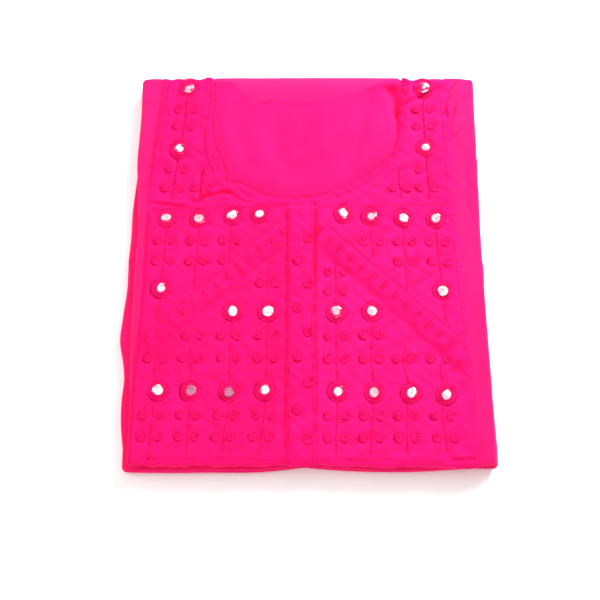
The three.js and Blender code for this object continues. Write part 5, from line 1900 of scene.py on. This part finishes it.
for side, ends in BANDS.items():
    for column, way in ((1, -1), (2, 1)):
        a, b = (np.array([end[0], end[column] + way * STITCH_IN * 1.3]) for end in ends)
        radius = 0.37 if (side, way) == ("right", -1) else 0.25
        path = even([a + 0.01 * (b - a), b + 0.01 * (a - b)], 60)
        topstitch("band_" + side, path, 2.7, radius, STRIP_STITCH_DROP)
y = np.linspace(-172, 48.2, 160)
for edge, way in zip(PLACKET_EDGES, (1, -1)):
    topstitch("placket", line_along(y, edge + way * STITCH_IN + placket_wander(y)), rise=STRIP_STITCH_DROP)
y = np.linspace(-171.5, 45, 160)
topstitch("yoke_left", line_along(y, yoke_edge("left", y) + 2.4), 2.4, 0.36, -0.05)
rope("yoke_right", line_along(y, yoke_edge("right", y) - 3.2), sewing_thread, 3.9, 0.62, 0.25, 0.85, -0.1)
for side, path in STRAP_LINES.items():
    topstitch("strap_" + side, even(path, 90), 2.6, 0.28)
for side, (start, stop) in {"left": (-133, -18), "right": (10, 125)}.items():
    x = np.linspace(start, stop, 60)
    topstitch("yoke_" + side, line_along(seam(x) - 1.4, x), 2.7, 0.34)
    x = np.linspace(start + 1, stop + 6, 60)
    topstitch("yoke_" + side, line_along(start_near(x) + 1.6 + 0.3 * np.sin(x * 0.05), x), 2.4, 0.3)
for out in (0.95, 4.15):
    topstitch("neck_binding", neck_line(out)[first + 2:last - 2], 2.6, 0.2)
print(sum(len(start) for rows in sewn.values() for start, *_ in rows), "stitches")

# %% [markdown]
# ## Building the stitches
# One low mesh shape does for every stitch: pointed at both ends, fullest in the middle, and arched. It is
# worked out for all the stitches of a list at once. A stitch that follows a fold has to know which way is up
# there, so that way is read from the same function that lays the cloth.

# %% Build the stitches
# Share of the way along a stitch, and how thick it is there.
STITCH_PROFILE = [(0.14, 0.72), (0.5, 1.0), (0.86, 0.72)]
STITCH_SIDES = 6
STITCH_FLATNESS = 0.85


# Level of the binding at its inner row of stitches, and how much higher it is at the outer one.
BINDING_LEVEL, BINDING_RISE = 2.34, 0.5


def level_of(carrier, x, y):
    """Level of a carrier's upper face."""
    if carrier == "neck_binding":
        return BINDING_LEVEL + BINDING_RISE * ease(-inside_neck(x, y) / 3.2) + relief(x, y)
    if carrier == "placket":
        return STRIP[1] + relief(x, y) + placket_fine(x, y)
    if carrier.startswith("band_"):
        return STRIP[1] + relief(x, y) + band_fine(carrier[5:], x, y)
    return YOKE[1] + relief(x, y) + yoke_fine(x, y)


def build_stitches(carrier, material, rows):
    """One joined mesh from rows of stitches on one carrier."""
    starts, stops, radii, rises = zip(*rows)
    start, stop, radius = np.vstack(starts).T, np.vstack(stops).T, np.concatenate(radii)[:, None]
    rise = np.concatenate(rises, axis=1)
    level_a, level_b = level_of(carrier, *start) + rise[0], level_of(carrier, *stop) + rise[1]
    a, b = lay(*start, level_a), lay(*stop, level_b)
    middle, level = (start + stop) / 2, (level_a + level_b) / 2
    up = unit(lay(*middle, level + 1) - lay(*middle, level))
    run = b - a
    side = unit(np.cross(up, run))
    blocks = [a - 0.25 * radius * up]
    for t, thick in STITCH_PROFILE:
        centre = a + t * run + (0.75 * radius * (1 - (2 * t - 1) ** 2) - 0.1 * radius) * up
        for cos, sin in spokes(2 * math.pi * np.arange(STITCH_SIDES) / STITCH_SIDES):
            blocks.append(centre + thick * radius * (cos * side + STITCH_FLATNESS * sin * up))
    blocks.append(b - 0.25 * radius * up)
    points = np.stack(blocks, axis=1)
    top = len(blocks) - 1
    one = np.vstack([
        fan(1, STITCH_SIDES, 0, above=False),
        tube(len(STITCH_PROFILE), STITCH_SIDES, 1),
        fan(top - STITCH_SIDES, STITCH_SIDES, top, above=True),
    ])
    faces = one + np.arange(len(points))[:, None, None] * len(blocks)
    name = f"{carrier}_{material.name}"
    return make_piece(name, points.reshape(-1, 3), faces.reshape(-1, 4), material, [])


for (carrier, material), rows in sewn.items():
    carried.setdefault(carrier, []).append(build_stitches(carrier, material, rows))
print(len(sewn), "pieces of stitching")
